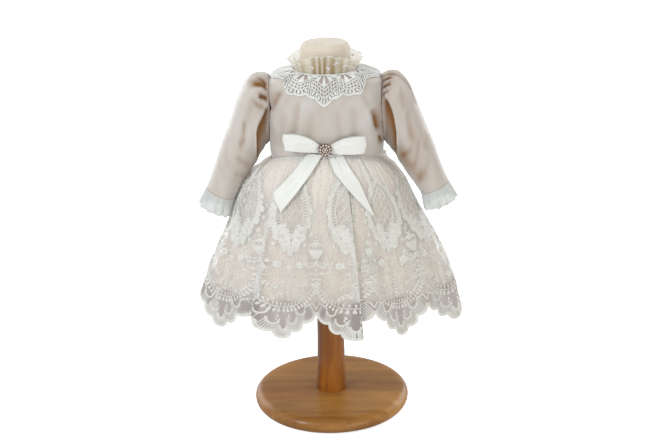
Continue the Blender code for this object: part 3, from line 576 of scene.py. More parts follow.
armholeMiddle, armholeHalf = bodiceCut["armholeLevel"], bodiceCut["armholeHalfHeight"]
bodiceLevels = np.concatenate([
    np.linspace(neck, armholeMiddle + armholeHalf + 0.6, 12),
    armholeMiddle + armholeHalf * np.cos(np.linspace(0, math.pi, 70)),
    np.linspace(armholeMiddle - armholeHalf - 0.6, waist, 18)])
frontEdge = armholeAngle(bodiceLevels)
backEdge = math.pi - armholeAngle(bodiceLevels, True)
backSlit = math.pi - bodiceCut["seam"] / 2 / ringSizes(bodiceCut["rings"], bodiceLevels)[2]
bodicePanel("bodiceFront", "bodice_front", bodiceLevels, -frontEdge, frontEdge, "front")
rightGrid = bodicePanel("bodiceBackRight", "bodice_back_right", bodiceLevels, backEdge, backSlit, "back")
leftGrid = bodicePanel("bodiceBackLeft", "bodice_back_left", bodiceLevels, -backSlit, -backEdge, "back")


sleeveCut = {
    "clothThick": 0.9, "columns": 168, "rows": 132, "stitchRow": 127,
    "sections": [  # outer x, outer z, inner x, inner z, half depth, middle y
        (98.0, 573.5, 93.5, 456.5, 34.0, -1), (111.0, 573.0, 96.5, 452.5, 37.0, -2),
        (121.0, 567.5, 99.5, 448.0, 38.5, -3), (130.0, 555.0, 104.0, 442.0, 38.5, -4),
        (139.0, 536.0, 110.0, 434.0, 37.0, -6), (149.0, 509.0, 117.0, 424.5, 35.0, -9),
        (159.5, 483.0, 124.0, 414.0, 32.5, -12), (169.5, 458.0, 131.0, 403.5, 30.0, -15),
        (179.0, 433.0, 138.0, 392.5, 27.5, -18), (187.5, 411.0, 144.5, 382.5, 25.5, -20),
        (195.0, 391.0, 150.5, 373.0, 24.0, -22)],
    "perDegree": 0.55, "perSection": 18.0,   # mm round and down the sleeve, for its creases
    "cuffRaise": {"left": -4.5, "right": 4.5},
    # cap tucks: degrees from the top (front is above nothing), width, depth, length down
    "tucks": {
        "left": [
            (6, 5.0, 2.6, 1.6), (-10, 5.0, 3.6, 1.8), (-28, 5.0, 5.4, 2.4), (-46, 5.0, 6.0, 2.8),
            (-66, 5.0, 4.6, 2.2)],
        "right": [
            (6, 5.0, 2.6, 1.6), (-12, 5.0, 3.8, 1.9), (-32, 5.0, 5.6, 2.4), (-50, 5.0, 5.6, 2.8),
            (-72, 5.0, 4.2, 2.2)]},
    # the fold under which the sleeve is drawn in towards the body: section number, degrees
    "underFold": {"left": [(0.2, 84), (1.45, 98), (3.25, 112), (4.7, 146), (5.6, 176)],
                  "right": [(0.3, 62), (1.65, 84), (3.6, 112), (4.8, 147), (5.6, 176)]},
    "underDepth": 7.0,
    # where the satin lies deeper in the shade: degrees, section number, half widths, strength
    "shadeSpots": {
        "left": [
            (154, 6.5, 22, 1.2, 0.22), (172, 7.8, 24, 1.6, 0.25), (78, 5.05, 8, 0.4, 0.22),
            (90, 5.8, 9, 0.6, 0.2), (60, 1.4, 30, 0.8, 0.1), (158, 4.75, 18, 0.6, 0.7)],
        "right": [
            (0, 5, 220, 14, 0.04), (130, 5.1, 15, 0.9, 0.34), (134, 6.2, 20, 1.0, 0.42),
            (124, 7.3, 15, 0.8, 0.38), (120, 8.6, 16, 0.6, 0.4), (56, 6.0, 50, 3.6, 0.12),
            (24, 0.8, 40, 0.8, 0.14), (98, 8.9, 14, 0.4, 0.2), (82, 5.5, 9, 0.4, 0.22),
            (30, 1.2, 30, 0.7, 0.16), (24, 3.4, 4, 2.2, 0.2)]},
    # creases: degrees from the top and section number at both ends, half width, rise
    "creases": {
        "left": [
            (47, -0.5, 31, 3.0, 6.5, -4.8), (42, -0.4, 22, 1.7, 2.0, -3.0), (49, -0.4, 39, 2.0, 1.8, -2.6),
            (30, 2.2, 44, 3.6, 4.0, 1.6), (57, -0.1, 50, 2.8, 4.0, 3.0), (69, -0.5, 62, 1.6, 3.0, -6.5),
            (78, -0.2, 68, 1.8, 3.4, 2.2), (90, -0.3, 70, 2.4, 3.2, -3.0), (14, 0.1, 12, 2.6, 4.5, 1.8),
            (64, 2.2, 80, 5.0, 7.0, -1.6), (42, 3.8, 48, 6.6, 9.0, 1.0), (96, 5.2, 84, 6.2, 5.0, -1.8),
            (70, 4.9, 88, 5.2, 5.0, -1.4), (140, 6.2, 92, 7.0, 5.0, -1.8), (150, 7.4, 110, 8.0, 5.0, -1.2),
            (50, 7.6, 84, 8.2, 6.0, -0.9), (30, 8.4, 96, 9.0, 5.0, -0.7), (-60, 3.2, -120, 5.0, 7.0, -2.2),
            (-40, 6.2, -118, 7.2, 6.0, -1.6), (-30, 8.0, -90, 9.0, 5.0, -0.9)],
        "right": [
            (18, 1.4, 25, 5.2, 2.2, -4.6), (27, 1.4, 34, 5.2, 4.2, 2.8), (13, 1.6, 15, 4.8, 4.0, 1.8),
            (17, -0.5, 20, 1.9, 2.4, -4.0), (34, -0.4, 27, 1.7, 2.2, -4.6), (48, -0.4, 42, 1.4, 2.2, -4.6),
            (60, -0.4, 56, 1.1, 2.0, -3.6), (26, 0.0, 23, 1.8, 2.0, 2.6), (41, 0.0, 36, 1.7, 2.2, 2.8),
            (54, 0.0, 50, 1.4, 2.0, 3.0), (67, 0.0, 66, 1.2, 2.2, 2.6), (8, 0.0, 8, 2.6, 3.4, 2.2),
            (48, 2.8, 66, 4.2, 7.0, -1.4), (66, 4.4, 80, 6.4, 7.0, -1.6), (150, 5.2, 96, 6.4, 5.0, -1.8),
            (62, 6.6, 120, 7.6, 5.0, -1.6), (60, 8.2, 100, 8.8, 5.0, -1.3), (96, 8.2, 140, 9.2, 5.0, -1.4),
            (30, 7.0, 60, 7.6, 6.0, -0.9), (-56, 3.0, -116, 5.2, 7.0, -2.2),
            (-44, 6.6, -120, 7.4, 6.0, -1.5), (-30, 8.2, -96, 9.2, 5.0, -0.9)]},
}


# Start of a sleeve: an upright oval just inside the armhole and just proud of the bodice.
def armholeRing(turn, inset):
    cut = bodiceCut
    level = cut["armholeLevel"] + (cut["armholeHalfHeight"] - inset) * np.cos(turn)
    y = -(cut["armholeHalfDepth"] - inset) * np.sin(turn)
    half, front, back, square, lift = ringSizes(cut["rings"], level)
    depth = np.where(y < 0, front, back)
    x = half * (1 - (np.abs(y) / depth) ** square) ** (1 / square)
    return pointsOf(x + 0.4, y, level + lift * np.clip(-y / depth, 0, 1) ** 1.3)


# One of the sleeve's sections as a ring: middle + (up·cos(turn) + forward·sin(turn))·size.
def sectionRing(number, side, turn, size=1.0):
    outX, outZ, inX, inZ, deep, middleY = sleeveCut["sections"][number]
    raised = sleeveCut["cuffRaise"][side] * ((number + 1) / len(sleeveCut["sections"])) ** 2
    middle = np.array([(outX + inX) / 2, middleY, (outZ + inZ) / 2 + raised])
    up = np.array([(outX - inX) / 2, 0, (outZ - inZ) / 2])
    forward = np.array([0, -deep, 0])
    return middle + (up * np.cos(turn)[:, None] + forward * np.sin(turn)[:, None]) * size


# A sleeve: its rings joined by soft curves, then tucks at the cap, the fold under it and
# creases pressed in. Painted shade darkens their hollows, the spots of its table and a band at
# the hem where the frill joins.
def makeSleeve(side):
    cut = sleeveCut
    turn = evenTurns(cut["columns"])
    rings = np.stack([armholeRing(turn, 0.3)]
                     + [sectionRing(k, side, turn) for k in range(len(cut["sections"]))])
    last = len(rings) - 1.2
    number = np.linspace(0, 1, cut["rows"]) ** 1.15 * last
    points = softCurve(np.arange(len(rings)), rings, number)
    degrees, down = apart(np.degrees(turn)), number[:, None]
    out = np.zeros((cut["rows"], cut["columns"]))
    for place, width, depth, length in cut["tucks"][side]:
        away = (degrees - place - down * 2.0 * np.sign(place)) / (width * (1 + 0.35 * down))
        fall = np.clip(1 - down / length, 0, 1) ** 1.2 * np.clip(down * 4 + 0.25, 0, 1)
        out -= depth * np.exp(-away ** 2) * fall
        out += depth * 0.3 * np.exp(-(away - 1.7 * np.sign(place)) ** 2) * fall
    across, along = degrees * cut["perDegree"], down * cut["perSection"]
    scale = np.array([cut["perDegree"], cut["perSection"]] * 2 + [1, 1])
    out += creases(across, along, np.array(cut["creases"][side]) * scale) * np.clip(down * 3 + 0.1, 0, 1)
    foldSection, foldEdge = np.array(cut["underFold"][side], float).T
    for way, deep in ((1, 1.0), (-1, 0.6)):
        past = (way * degrees - np.interp(down, foldSection, foldEdge)) * 0.62
        reach = np.clip(down / 0.6, 0, 1) * np.clip((5.4 - down) / 1.2, 0, 1) * deep
        out -= cut["underDepth"] * reach / (1 + np.exp(-past / 1.1)) * np.exp(-np.maximum(past, 0) / 34)
        out += 1.8 * reach * np.exp(-((past + 4.0) / 4.0) ** 2)
    near = np.clip((last - down) * 3, 0, 1)
    shade = np.clip(-out / 5.4, 0, 1) ** 1.2 * near + spots(degrees, down, cut["shadeSpots"][side])
    shade = np.clip(np.maximum(shade, 0.45 * np.clip((down - last + 0.14) / 0.1, 0, 1)), 0, 1)
    out += 0.5 * uneven(across, along, 15.0, 3 if side == "left" else 5) * np.clip(down / 2, 0, 1)
    out = out * near + 0.35 * (1 - near) * np.cos(turn * 34)
    points = points + outwardNormals(points, True) * out[..., None]
    if side == "left":
        points = points * mirrored
    piece = clothWall("sleeve" + side.capitalize(), points, cut["clothThick"], satinCrepe,
                      wrap=True, shade=shade)
    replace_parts(piece, "sleeve_" + side)
    print("sleeve made", side, round(gridArea(points, True), 4))
    return points


sleeveGrids = [makeSleeve(side) for side in sides]
for side, way in zip(sides, (-1, 1)):   # piping 2.1 mm thick closes each armhole's seam
    pipingRing = (armholeRing(evenTurns(120), 0.6) + [0.4, 0, 0]) * [way, 1, 1]
    # painted shade: the piping takes 0.6 of the satin's shade colour, darkening the seam between sleeve and
    # bodice
    closedCord("armholeCord" + side.capitalize(), pipingRing, np.array([1, 0, 0]), 1.05, 8,
               satinCrepe, 0.6)


skirtCut = {
    "rings": [  # the outer swell
        (433, 88.0, 64.0, 62.0, 2.6, 22), (422, 105.0, 78.0, 76.0, 2.5, 20),
        (407, 119.5, 90.0, 90.0, 2.4, 16), (366, 141.5, 105.0, 108.0, 2.2, 8),
        (315, 170.0, 116.0, 122.0, 2.1, 3), (272, 191.5, 124.0, 132.0, 2.1, 0),
        (224, 210.0, 130.0, 139.0, 2.1, 0), (192, 219.0, 134.0, 143.0, 2.1, 0),
        (165, 225.0, 137.0, 146.0, 2.1, 0)],
    "top": 432.7, "valley": 217.0,
    "repeatLength": 112.0, "repeatColumns": 80, "rows": 92,
    # lobes of one repeat's edge, share and drop where each ends and how far it bulges (mm)
    "lobes": [
        (0.205, 18.0, 6.5), (0.372, 33.0, 7.0), (0.628, 33.0, 13.0), (0.795, 18.0, 7.0), (1.0, 0.0, 6.5)],
    # angles at which the hem's valleys and tips lie, in turn, beginning with a valley
    "hemAngles": [-184, -170, -152, -134, -116, -98, -82.5, -66.5, -50, -30, -7.5, 14.6, 33, 47.2,
                  61, 77, 92, 108, 121.5, 135, 148.5, 162, 176],
    # troughs between the folds: angle, half width, depth at the hem
    "troughs": [
        (-8, 7.0, 4.5), (-27, 8.0, 6.0), (-66, 7.0, 7.0), (-101, 7.0, 8.0), (-131, 8.0, 8.0),
        (-176, 8.0, 8.0), (48, 7.0, 7.0), (70, 7.0, 7.0), (102, 7.0, 8.5), (138, 8.0, 8.0)],
    # knife pleats, where the cloth folds under itself: angle, half width, overlap, depth, side on top
    "pleats": [
        (20.8, 6.0, 2.3, 8.5, -1), (-46, 5.0, 2.0, 5.5, 1), (-84, 5.0, 1.7, 5.0, 1),
        (118, 5.5, 2.1, 7.0, -1), (-117, 5.0, 2.0, 7.0, 1), (160, 5.5, 2.1, 7.5, -1),
        (-153, 5.5, 2.1, 7.5, 1), (84, 5.0, 1.6, 4.0, -1)],
    # where the net stands off: angle, level, half widths, rise
    "stands": [(-96, 378, 38, 42, 11.5), (84, 405, 26, 14, -1.5)],
    # slim folds that run from a level to a lower one: angle, level, angle, level, width, rise
    "folds": [
        (-4, 424, -5, 300, 1.5, -1.5), (2, 424, 3, 318, 1.3, -1.3), (-11, 424, -15, 330, 1.6, -1.2),
        (8, 424, 11, 340, 1.4, -1.0), (58, 424, 64, 300, 2.5, -2.2), (66, 420, 74, 260, 2.6, -1.8),
        (36, 424, 40, 330, 1.8, -1.4), (-58, 424, -62, 300, 2.4, -2.0), (-20, 420, -36, 240, 2.6, -1.5),
        (-36, 424, -42, 350, 1.8, -1.6), (92, 420, 96, 280, 2.6, -2.0), (128, 420, 130, 260, 2.6, -2.0),
        (150, 422, 150, 300, 2.4, -2.0), (172, 422, 170, 300, 2.4, -1.8), (-168, 422, -166, 290, 2.4, -1.8),
        (-142, 422, -142, 280, 2.6, -2.0), (-108, 422, -110, 270, 2.6, -2.0),
        (-92, 422, -92, 300, 2.4, -1.8), (12, 300, 8, 200, 2.4, -1.6), (-20, 290, -18, 200, 2.6, -1.8),
        (40, 290, 40, 200, 2.4, -1.6), (56, 280, 56, 200, 2.6, -1.8), (-58, 290, -58, 200, 2.4, -1.8)],
}


repeats = len(skirtCut["hemAngles"]) // 2


# Share of the way from the waist to the hem's valleys.
def skirtShare(level, most=1.2):
    return np.clip((waist - level) / (waist - skirtCut["valley"]), 0, most)


# Skirt's own place for a cloth angle (degrees) and level. Knife pleats slide the cloth back
# under itself: the angle loses overlap·t·exp(-t²), and the lower layer lies deeper.
def skirtPoint(level, clothAngle):
    cut = skirtCut
    angle = np.array(np.broadcast_to(clothAngle, np.broadcast(level, clothAngle).shape), float)
    depth = np.zeros(angle.shape)
    folded = skirtShare(level) ** 0.8
    for place, width, overlap, deep, top in cut["pleats"]:
        t = apart(clothAngle, place) / width
        angle = angle - overlap * width * skirtShare(level) ** 0.45 * t * np.exp(-t * t)
        under = 0.5 - 0.5 * np.tanh(2.6 * t * top)
        depth += deep * folded * under * np.exp(-(np.maximum(-t * top, 0) / 2.3) ** 2)
    for place, width, deep in cut["troughs"]:
        depth += deep * folded * np.exp(-(apart(angle, place) / width) ** 2)
    depth -= creases(apart(angle), level / 2.0, np.array(cut["folds"]) * [1, 0.5, 1, 0.5, 1, 1])
    turn = np.radians(clothAngle)
    # fine gathers at the seam, longer ones under them and waves at the hem
    near = np.clip((waist - level) / 60, 0, 1)
    fine = np.sin(turn * 71 + 2 * np.sin(turn * 7)) + 0.7 * np.sin(turn * 47 + 3 * np.sin(turn * 5 + 1))
    depth += 0.75 * (1 - near) ** 1.4 * np.clip(near * 14, 0.3, 1) * (1.2 + fine)
    long = np.clip((waist - level) / 150, 0, 1)
    broad = 1 + np.sin(turn * 31 + 2.5 * np.sin(turn * 3 + 2))
    depth += 0.8 * (1 - long) * np.clip(long * 10, 0, 1) * broad
    edge = np.clip((265 - level) / 60, 0, 1)
    depth += 0.9 * edge * (1 + np.sin(turn * 29 + 2 * np.sin(turn * 4)))
    for place, middle, wide, tall, rise in cut["stands"]:
        depth -= rise * np.exp(-(apart(angle, place) / wide) ** 2 - ((level - middle) / tall) ** 2)
    return pressedIn(ringPoint(cut["rings"], level, np.radians(angle)), depth)


# Cloth angle for a place along the hem, counted in lace repeats from the first valley: the
# table's angles joined by straight lines, then smoothed by a moving bell.
fineTurn = np.linspace(-1, repeats + 1, 2400)
fineAngle = np.interp(fineTurn % repeats, np.arange(len(skirtCut["hemAngles"])) / 2.0, skirtCut["hemAngles"])
bell61 = np.hanning(61) / np.hanning(61).sum()
fineAngle = np.pad(fineAngle + 360 * (fineTurn // repeats), 30, mode="edge")
fineAngle = np.convolve(fineAngle, bell61, mode="valid")


def angleAt(turn):
    return np.interp(turn, fineTurn, fineAngle)


# The lace's edge over one repeat as places (share of a repeat, level): a V of five lobes, each
# an arc of a circle over its chord, at even steps of the length.
def hemEdge(count):
    places, start = [], np.array([0.0, 0.0])
    for share, drop, bulge in skirtCut["lobes"]:
        end = np.array([share * 100, drop])
        chord = end - start
        long = np.linalg.norm(chord)
        radius = (long * long / 4 + bulge * bulge) / (2 * bulge)
        out = np.array([-chord[1], chord[0]]) / long
        middle = (start + end) / 2 - out * (radius - bulge)
        half = math.atan2(long / 2, radius - bulge)
        turn = np.linspace(-half, half, 60)[:-1, None]
        places.append(middle + radius * (out * np.cos(turn) + chord / long * np.sin(turn)))
        start = end
    place, _ = evenSteps(np.concatenate(places + [start[None]]), count)
    return place[:, 0] / 100, skirtCut["valley"] - place[:, 1]


# Cloth distance down from the waist seam and the level it comes to, the same all round.
waistDrop = [0, 33, 60, 84, 108, 130, 152, 174, 195, 216, 236, 257, 277, 297, 304]
dropLevel = [433, 413, 393, 373, 353, 333, 313, 293, 273, 253, 233, 213, 193, 173, 166]


def levelAt(drop):
    return np.interp(drop, waistDrop, dropLevel)


def dropAt(level):
    return np.interp(level, dropLevel[::-1], waistDrop[::-1])


# The tulle: cloth columns follow the hem's repeats, rows run from the seam to the hem's edge.
perRepeat = skirtCut["repeatColumns"]
edgeShare, edgeLevel = (np.tile(part[:-1], repeats) for part in hemEdge(perRepeat + 1))
tulleTurn = np.arange(perRepeat * repeats) / perRepeat
rowShare = np.linspace(0, 1, skirtCut["rows"])[:, None] ** 1.05
tulleLevel = skirtCut["top"] + (edgeLevel - skirtCut["top"]) * rowShare
tulleAcross = tulleTurn + (edgeShare + tulleTurn // 1 - tulleTurn) * rowShare ** 3
tulleGrid = skirtPoint(tulleLevel, angleAt(tulleAcross))
tulleFlat = tulleGrid.reshape(-1, 3)
tulleFaces = facedAway(tulleFlat, gridFaces(*tulleGrid.shape[:2], True), tulleFlat * [0, 0, 1])
tulleMap = pointsOf(tulleAcross * skirtCut["repeatLength"], distanceAlong(tulleGrid)).reshape(-1, 2) * mm
# Painted shade: where no lining hangs behind it, the net is denser and tinted grey, for the
# shadowed inside of the skirt seen through it.
underShade = np.clip((235.0 - tulleLevel) / 3.0, 0, 1).ravel()
skirtNet = makePiece("skirtTulle", tulleFlat, [tulleFaces], skirtTulle, tulleMap,
                     skirtCut["repeatLength"] * repeats * mm, shade=underShade)
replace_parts(skirtNet, "skirt_lace")


# Lining: hangs inside the net on the same swell, in broad soft folds of its own.
liningCut = {"inside": 3.8, "hang": 11.0, "folds": 14, "foldDepth": 3.0, "top": 427.0, "hem": 227.0,
             "thick": 0.8, "columns": 330, "rows": 52}


# The lining's folds, from 0 on a crest to 1 in a hollow.
def liningFolds(angle, share=1.0):
    return 0.5 - 0.5 * np.cos(liningCut["folds"] * angle + 1.2 * np.sin(3 * angle) * share)


def liningPoint(level, angle):
    cut = liningCut
    share = skirtShare(level, 1)
    inside = cut["inside"] + cut["hang"] * share ** 0.8 + cut["foldDepth"] * share * liningFolds(angle, share)
    inside = inside + 0.5 * share * np.sin(23 * angle + 2 * np.sin(5 * angle)) * share
    return pressedIn(ringPoint(skirtCut["rings"], level, angle), inside)


liningAngle = evenTurns(liningCut["columns"])
liningDegrees = np.degrees(liningAngle)
liningLevel = np.linspace(liningCut["top"], liningCut["hem"], liningCut["rows"])[:, None]
liningGrid = liningPoint(liningLevel, liningAngle[None, :])
# Painted shade on the inner face: a warm tint in the folds' hollows, most near the waist and
# less at the right, and behind each knife pleat. The outer face, made second, takes an even share of it.
liningShade = 0.75 * liningFolds(liningAngle) ** 2 * np.clip((liningLevel - 255) / 120, 0, 1)
liningShade = liningShade * (1 - 0.6 * np.exp(-((liningDegrees - 60) / 28) ** 2))
for place, width, _, _, upper in skirtCut["pleats"]:
    behind = apart(liningDegrees, place - 0.8 * width * upper) / (0.85 * width)
    liningShade = np.maximum(liningShade, 0.8 * np.exp(-behind ** 2))
skirtLining = clothWall("skirtLining", liningGrid, -liningCut["thick"], liningTaffeta, wrap=True,
                        shade=liningShade)
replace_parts(skirtLining, "skirt_lining")
print("lining made", round(gridArea(liningGrid, True), 4))


# Embroidery is drawn flat as groups of strokes. A group is paths (number, stations, 2) in mm, a
# width for each station and the height of the crown. Headings count from straight down (+y)
# towards +x.
def strokes(path, width, rise=0.8):
    path = np.asarray(path, float)
    if path.ndim == 2:
        path = path[None]
    return path, np.broadcast_to(np.asarray(width, float), path.shape[:2]), rise


# Unit direction of a heading in degrees.
def headingWay(degrees):
    return pointsOf(np.sin(np.radians(degrees)), np.cos(np.radians(degrees)))


# Directions turned a quarter round: outwards, for an outline that starts down its right side.
def quarterTurn(way):
    return pointsOf(way[:, 1], -way[:, 0])


# Leaves or petals: a straight midrib with a width that swells and closes again.
def leaves(x, y, heading, length, width, rise=0.9, blunt=False, full=None):
    x, y, heading, length, width = np.broadcast_arrays(*np.atleast_1d(x, y, heading, length, width))
    share = np.array([0, 0.22, 0.5, 0.75, 0.92, 1])
    if full is None:
        full = [0.55, 0.85, 1, 0.95, 0.7, 0.3] if blunt else [0.25, 0.75, 1, 0.78, 0.4, 0.12]
    path = pointsOf(x, y)[:, None] + headingWay(heading)[:, None] * (length[:, None] * share)[..., None]
    return path, width[:, None] * np.array(full), rise


# Drops: narrow at the start, widest near the rounded end.
def drops(x, y, heading, length, width, rise=1.2):
    return leaves(x, y, heading, length, width, rise, full=[0.22, 0.34, 0.72, 1, 0.86, 0.4])


# Straight stitches from one set of places to another.
def bars(start, end, width, rise=0.6):
    return strokes(np.stack([start, end], axis=1), width, rise)


# Closed rings of cord, each turned by its heading.
def loopCords(x, y, across, tall, width, heading, rise=0.7, corners=14):
    x, y, across, tall, heading = np.broadcast_arrays(*np.atleast_1d(x, y, across, tall, heading))
    turn = np.linspace(0, tau, corners + 1)
    flatX, flatY = np.cos(turn) * across[:, None] / 2, np.sin(turn) * tall[:, None] / 2
    cos, sin = np.cos(np.radians(heading))[:, None], np.sin(np.radians(heading))[:, None]
    return strokes(pointsOf(x[:, None] + flatX * cos + flatY * sin, y[:, None] - flatX * sin + flatY * cos),
                   width, rise)


# Groups drawn on both sides: mirrored across the middle line, then as they are.
def bothSides(groups):
    return [(path * [-1, 1], width, rise) for path, width, rise in groups] + groups


# Groups of strokes as points (x, y, height), quads, triangles and the yarn's map. Across a
# stroke the height is a low roof: edge, crown, edge, closed underneath.
def threadWork(groups):
    points, quads, ends, yarnMap, count = [], [], [], [], 0
    for path, width, rise in groups:
        number, stations = path.shape[:2]
        slope = np.gradient(path, axis=1)
        slope /= np.maximum(np.linalg.norm(slope, axis=-1, keepdims=True), 1e-6)
        side = pointsOf(-slope[..., 1], slope[..., 0]) * width[..., None] / 2
        crown = rise * np.minimum(1, (width / 1.6) ** 0.5)[..., None]
        low = np.full(crown.shape, 0.03)
        ring = np.stack([np.concatenate([path + side, low], -1), np.concatenate([path, crown], -1),
                         np.concatenate([path - side, low], -1)], 2)
        points.append(ring.reshape(-1, 3))
        along = np.cumsum(np.linalg.norm(np.diff(path, axis=1, prepend=path[:, :1]), axis=-1), axis=1)
        across = pointsOf(-width / 2, 0 * width, width / 2)
        yarnMap.append(pointsOf(along[..., None], across).reshape(-1, 2))
        first = count + 3 * (np.arange(number)[:, None] * stations + np.arange(stations - 1))
        for a, b in ((0, 1), (1, 2), (2, 0)):
            quads.append(np.stack([first + a, first + 3 + a, first + 3 + b, first + b], -1).reshape(-1, 4))
        start = count + 3 * np.arange(number) * stations
        last = start + 3 * (stations - 1)
        ends += [pointsOf(start, start + 1, start + 2), pointsOf(last + 2, last + 1, last)]
        count += number * stations * 3
    return (np.concatenate(points), np.concatenate(quads), np.concatenate(ends),
            np.concatenate(yarnMap) * mm)


# Several copies of one design, each laid on its cloth by its own function, as one mesh.
def stitchedPiece(name, groups, placers, material):
    points, quads, ends, yarnMap = threadWork(groups)
    laid = np.concatenate([placer(*points.T) for placer in placers])
    shift = (np.arange(len(placers)) * len(points))[:, None, None]
    return makePiece(name, laid, [(quads + shift).reshape(-1, 4), (ends + shift).reshape(-1, 3)],
                     material, np.tile(yarnMap, (len(placers), 1)), sharp=75)


# A fine table of a surface's points and outward normals over levels and angles.
def surfaceTable(surface, levels, angles):
    points = surface(levels[:, None], angles[None, :])
    return levels, angles, points, outwardNormals(points)


# Places on a surface table, read between its entries and raised along the normal.
def laidOn(table, level, angle, height):
    levels, angles, points, normals = table
    row = np.clip((level - levels[0]) / (levels[1] - levels[0]), 0, len(levels) - 1.001)
    column = np.clip((angle - angles[0]) / (angles[1] - angles[0]), 0, len(angles) - 1.001)
    i, j = row.astype(int), column.astype(int)
    u, v = (row - i)[:, None], (column - j)[:, None]
    point, normal = ((grid[i, j] * (1 - v) + grid[i, j + 1] * v) * (1 - u)
                     + (grid[i + 1, j] * (1 - v) + grid[i + 1, j + 1] * v) * u for grid in (points, normals))
    return point + unitLong(normal) * np.asarray(height)[:, None]


laceCut = {
    "medallionTop": 38.0, "medallionLength": 118.0, "medallionHalf": 25.5,
    "lobes": 26, "lobeLength": 7.8, "rungGap": 4.8, "latticeGap": 15.5, "latticeSlope": 0.74,
    # how far a medallion is moved along the hem from the middle of its point, in degrees
    "shift": {4: 2.6, 5: 2.9, 6: -0.8, 7: -2.5},
    # medallions that lie partly in a fold: share of the width, of the height, and the place
    # across from which the rest is drawn into the fold
    "pinched": {5: (1.0, 1.0, 13.0), 6: (0.9, 0.93, 60.0)},
    "narrowBell": {6: 0.4},   # and a bell that is drawn in, as a share of its width
    "garlandLow": 246.5, "garlandRise": 44.0,
    "stand": 0.12,   # strokes lie this far off the net
    # petals of a medallion's point, each pair over the one below it: x, y, heading, length
    "point": [(8.5, 113, 58, 15), (4.0, 122, 62, 19), (1.5, 131, 58, 17), (1.0, 139, 50, 13),
              (0.5, 146, 34, 9)],
}


# Half width of a medallion at a share of its length: an oval pointed at both ends.
def medallionHalf(share):
    return laceCut["medallionHalf"] * np.sin(math.pi * np.clip(share, 0, 1) ** 0.95) ** 0.85


# One medallion: petal lobes round a pointed oval, a ladder of stitches inside them, a lattice
# of crossing cords with a knot on each crossing, and a flower over a tip of solid petals.
def medallion():
    cut = laceCut
    top, length = cut["medallionTop"], cut["medallionLength"]
    end = top + length
    share = np.linspace(0, 1, 160)
    right = pointsOf(medallionHalf(share), top + length * share)
    outline = np.concatenate([right, (right * [-1, 1])[::-1]])
    place, way = (part[:-1] for part in evenSteps(outline, cut["lobes"] + 1))
    outward = quarterTurn(way)
    heading = np.degrees(np.arctan2(*outward.T))
    grown = cut["lobeLength"] * (0.8 + 0.35 * (place[:, 1] - top) / length)
    grown = grown * (1 + 0.17 * np.cos(math.pi * np.arange(len(grown))))
    lean = heading + 10 * np.sign(place[:, 0])
    made = [leaves(*place.T, lean, grown * 0.9, 9.0, 0.8, True)]
    for turn in (-38, 0, 38):
        foot = place + headingWay(lean + turn) * 2.0
        made.append(leaves(*foot.T, lean + turn, grown - 2.0, 4.4, 1.3, True))
    made.append(leaves(*(place - outward * 2.5).T, heading, 5.0, 4.6, 1.5, True))
    line, lineWay = evenSteps(outline, 120)
    inward = -quarterTurn(lineWay)
    made += [strokes(line - inward * 1.2, 5.4, 0.4), strokes(line + inward * 0.8, 1.9, 1.2)]
    inside = line + inward * 8.0
    clear = (np.abs(inside[:, 0]) > 0.6) & (inside[:, 1] > top + 12) & (inside[:, 1] < end - 22)
    made += [strokes(inside[clear & (np.sign(line[:, 0]) == sign)], 1.7, 0.9) for sign in (-1, 1)]
    rung, rungWay = evenSteps(outline, int(2 * 131 / cut["rungGap"]))
    inward = -quarterTurn(rungWay)
    keep = (rung[:, 1] > top + 12) & (rung[:, 1] < end - 30)
    made.append(bars((rung + inward * 1.6)[keep], (rung + inward * 7.8 + rungWay * 1.6)[keep], 1.6))
    steps = np.arange(top - 38, end + 30, cut["latticeGap"])
    run = np.linspace(top, end, 400)
    cords = []
    for start in steps:
        for slope in (-cut["latticeSlope"], cut["latticeSlope"]):
            cord = pointsOf((run - start) * slope, run)
            hit = (np.abs(cord[:, 0]) < medallionHalf((run - top) / length) - 7.6) & (run < end - 31)
            if hit.sum() > 12:
                cords.append(cord[hit][[0, -1]])
    cords, share = np.array(cords), np.linspace(0, 1, 8)[:, None]
    made.append(strokes(cords[:, :1] * (1 - share) + cords[:, 1:] * share, 1.3, 0.75))
    first, second = (g.ravel() for g in np.meshgrid(steps, steps))
    cross = pointsOf((second - first) / 2 * cut["latticeSlope"], (first + second) / 2)
    room = medallionHalf((cross[:, 1] - top) / length) - 9.5
    knots = cross[(np.abs(cross[:, 0]) < room) & (cross[:, 1] > top) & (cross[:, 1] < end - 32)]
    made += [leaves(*(knots - headingWay(turn) * 1.6).T, turn, 3.2, 2.0, 1.2, True) for turn in (0, 90)]
    flower = end - 25
    made += [leaves(0, flower, [42, 138, 222, 318], 7.4, 4.8, 1.3),
             leaves(0, flower, [0, 90, 180, 270], 5.6, 1.8, 0.9),
             leaves(0, flower - 1.2, 0, 2.4, 2.4, 1.6, True)]
    x, y, lean, reach = np.array(cut["point"]).T
    made += bothSides([leaves(x, y, lean, reach, 8.4, 1.0, True),
                       leaves(x[1:], y[1:] - 3.5, lean[1:] * 1.12, reach[1:] * 0.7, 4.4, 1.6, True)])
    for out, down, size in ((33, 104, 1.0), (31, 126, 1.1), (22, 143, 1.0), (34, 84, 0.8)):
        made += bothSides([leaves(out, down, [40, 85, 130], 6.0 * size, 2.4, 0.8),
                           leaves(out - 5, down - 4, 55, 5.5, 0.9, 0.6)])
    return made + [leaves(0, [157, 162, 166], 0, [4, 3, 2.4], [3.2, 2.4, 1.8], 1.0, True),
                   leaves(0, 38, [150, 180, 210], [8, 10, 8], 3.0, 0.9)]


# A bead: one short fat stitch.
def bead(x, y, rise=1.4):
    return leaves(x, y - 1, 0, 2.2, 2.2, rise, True)


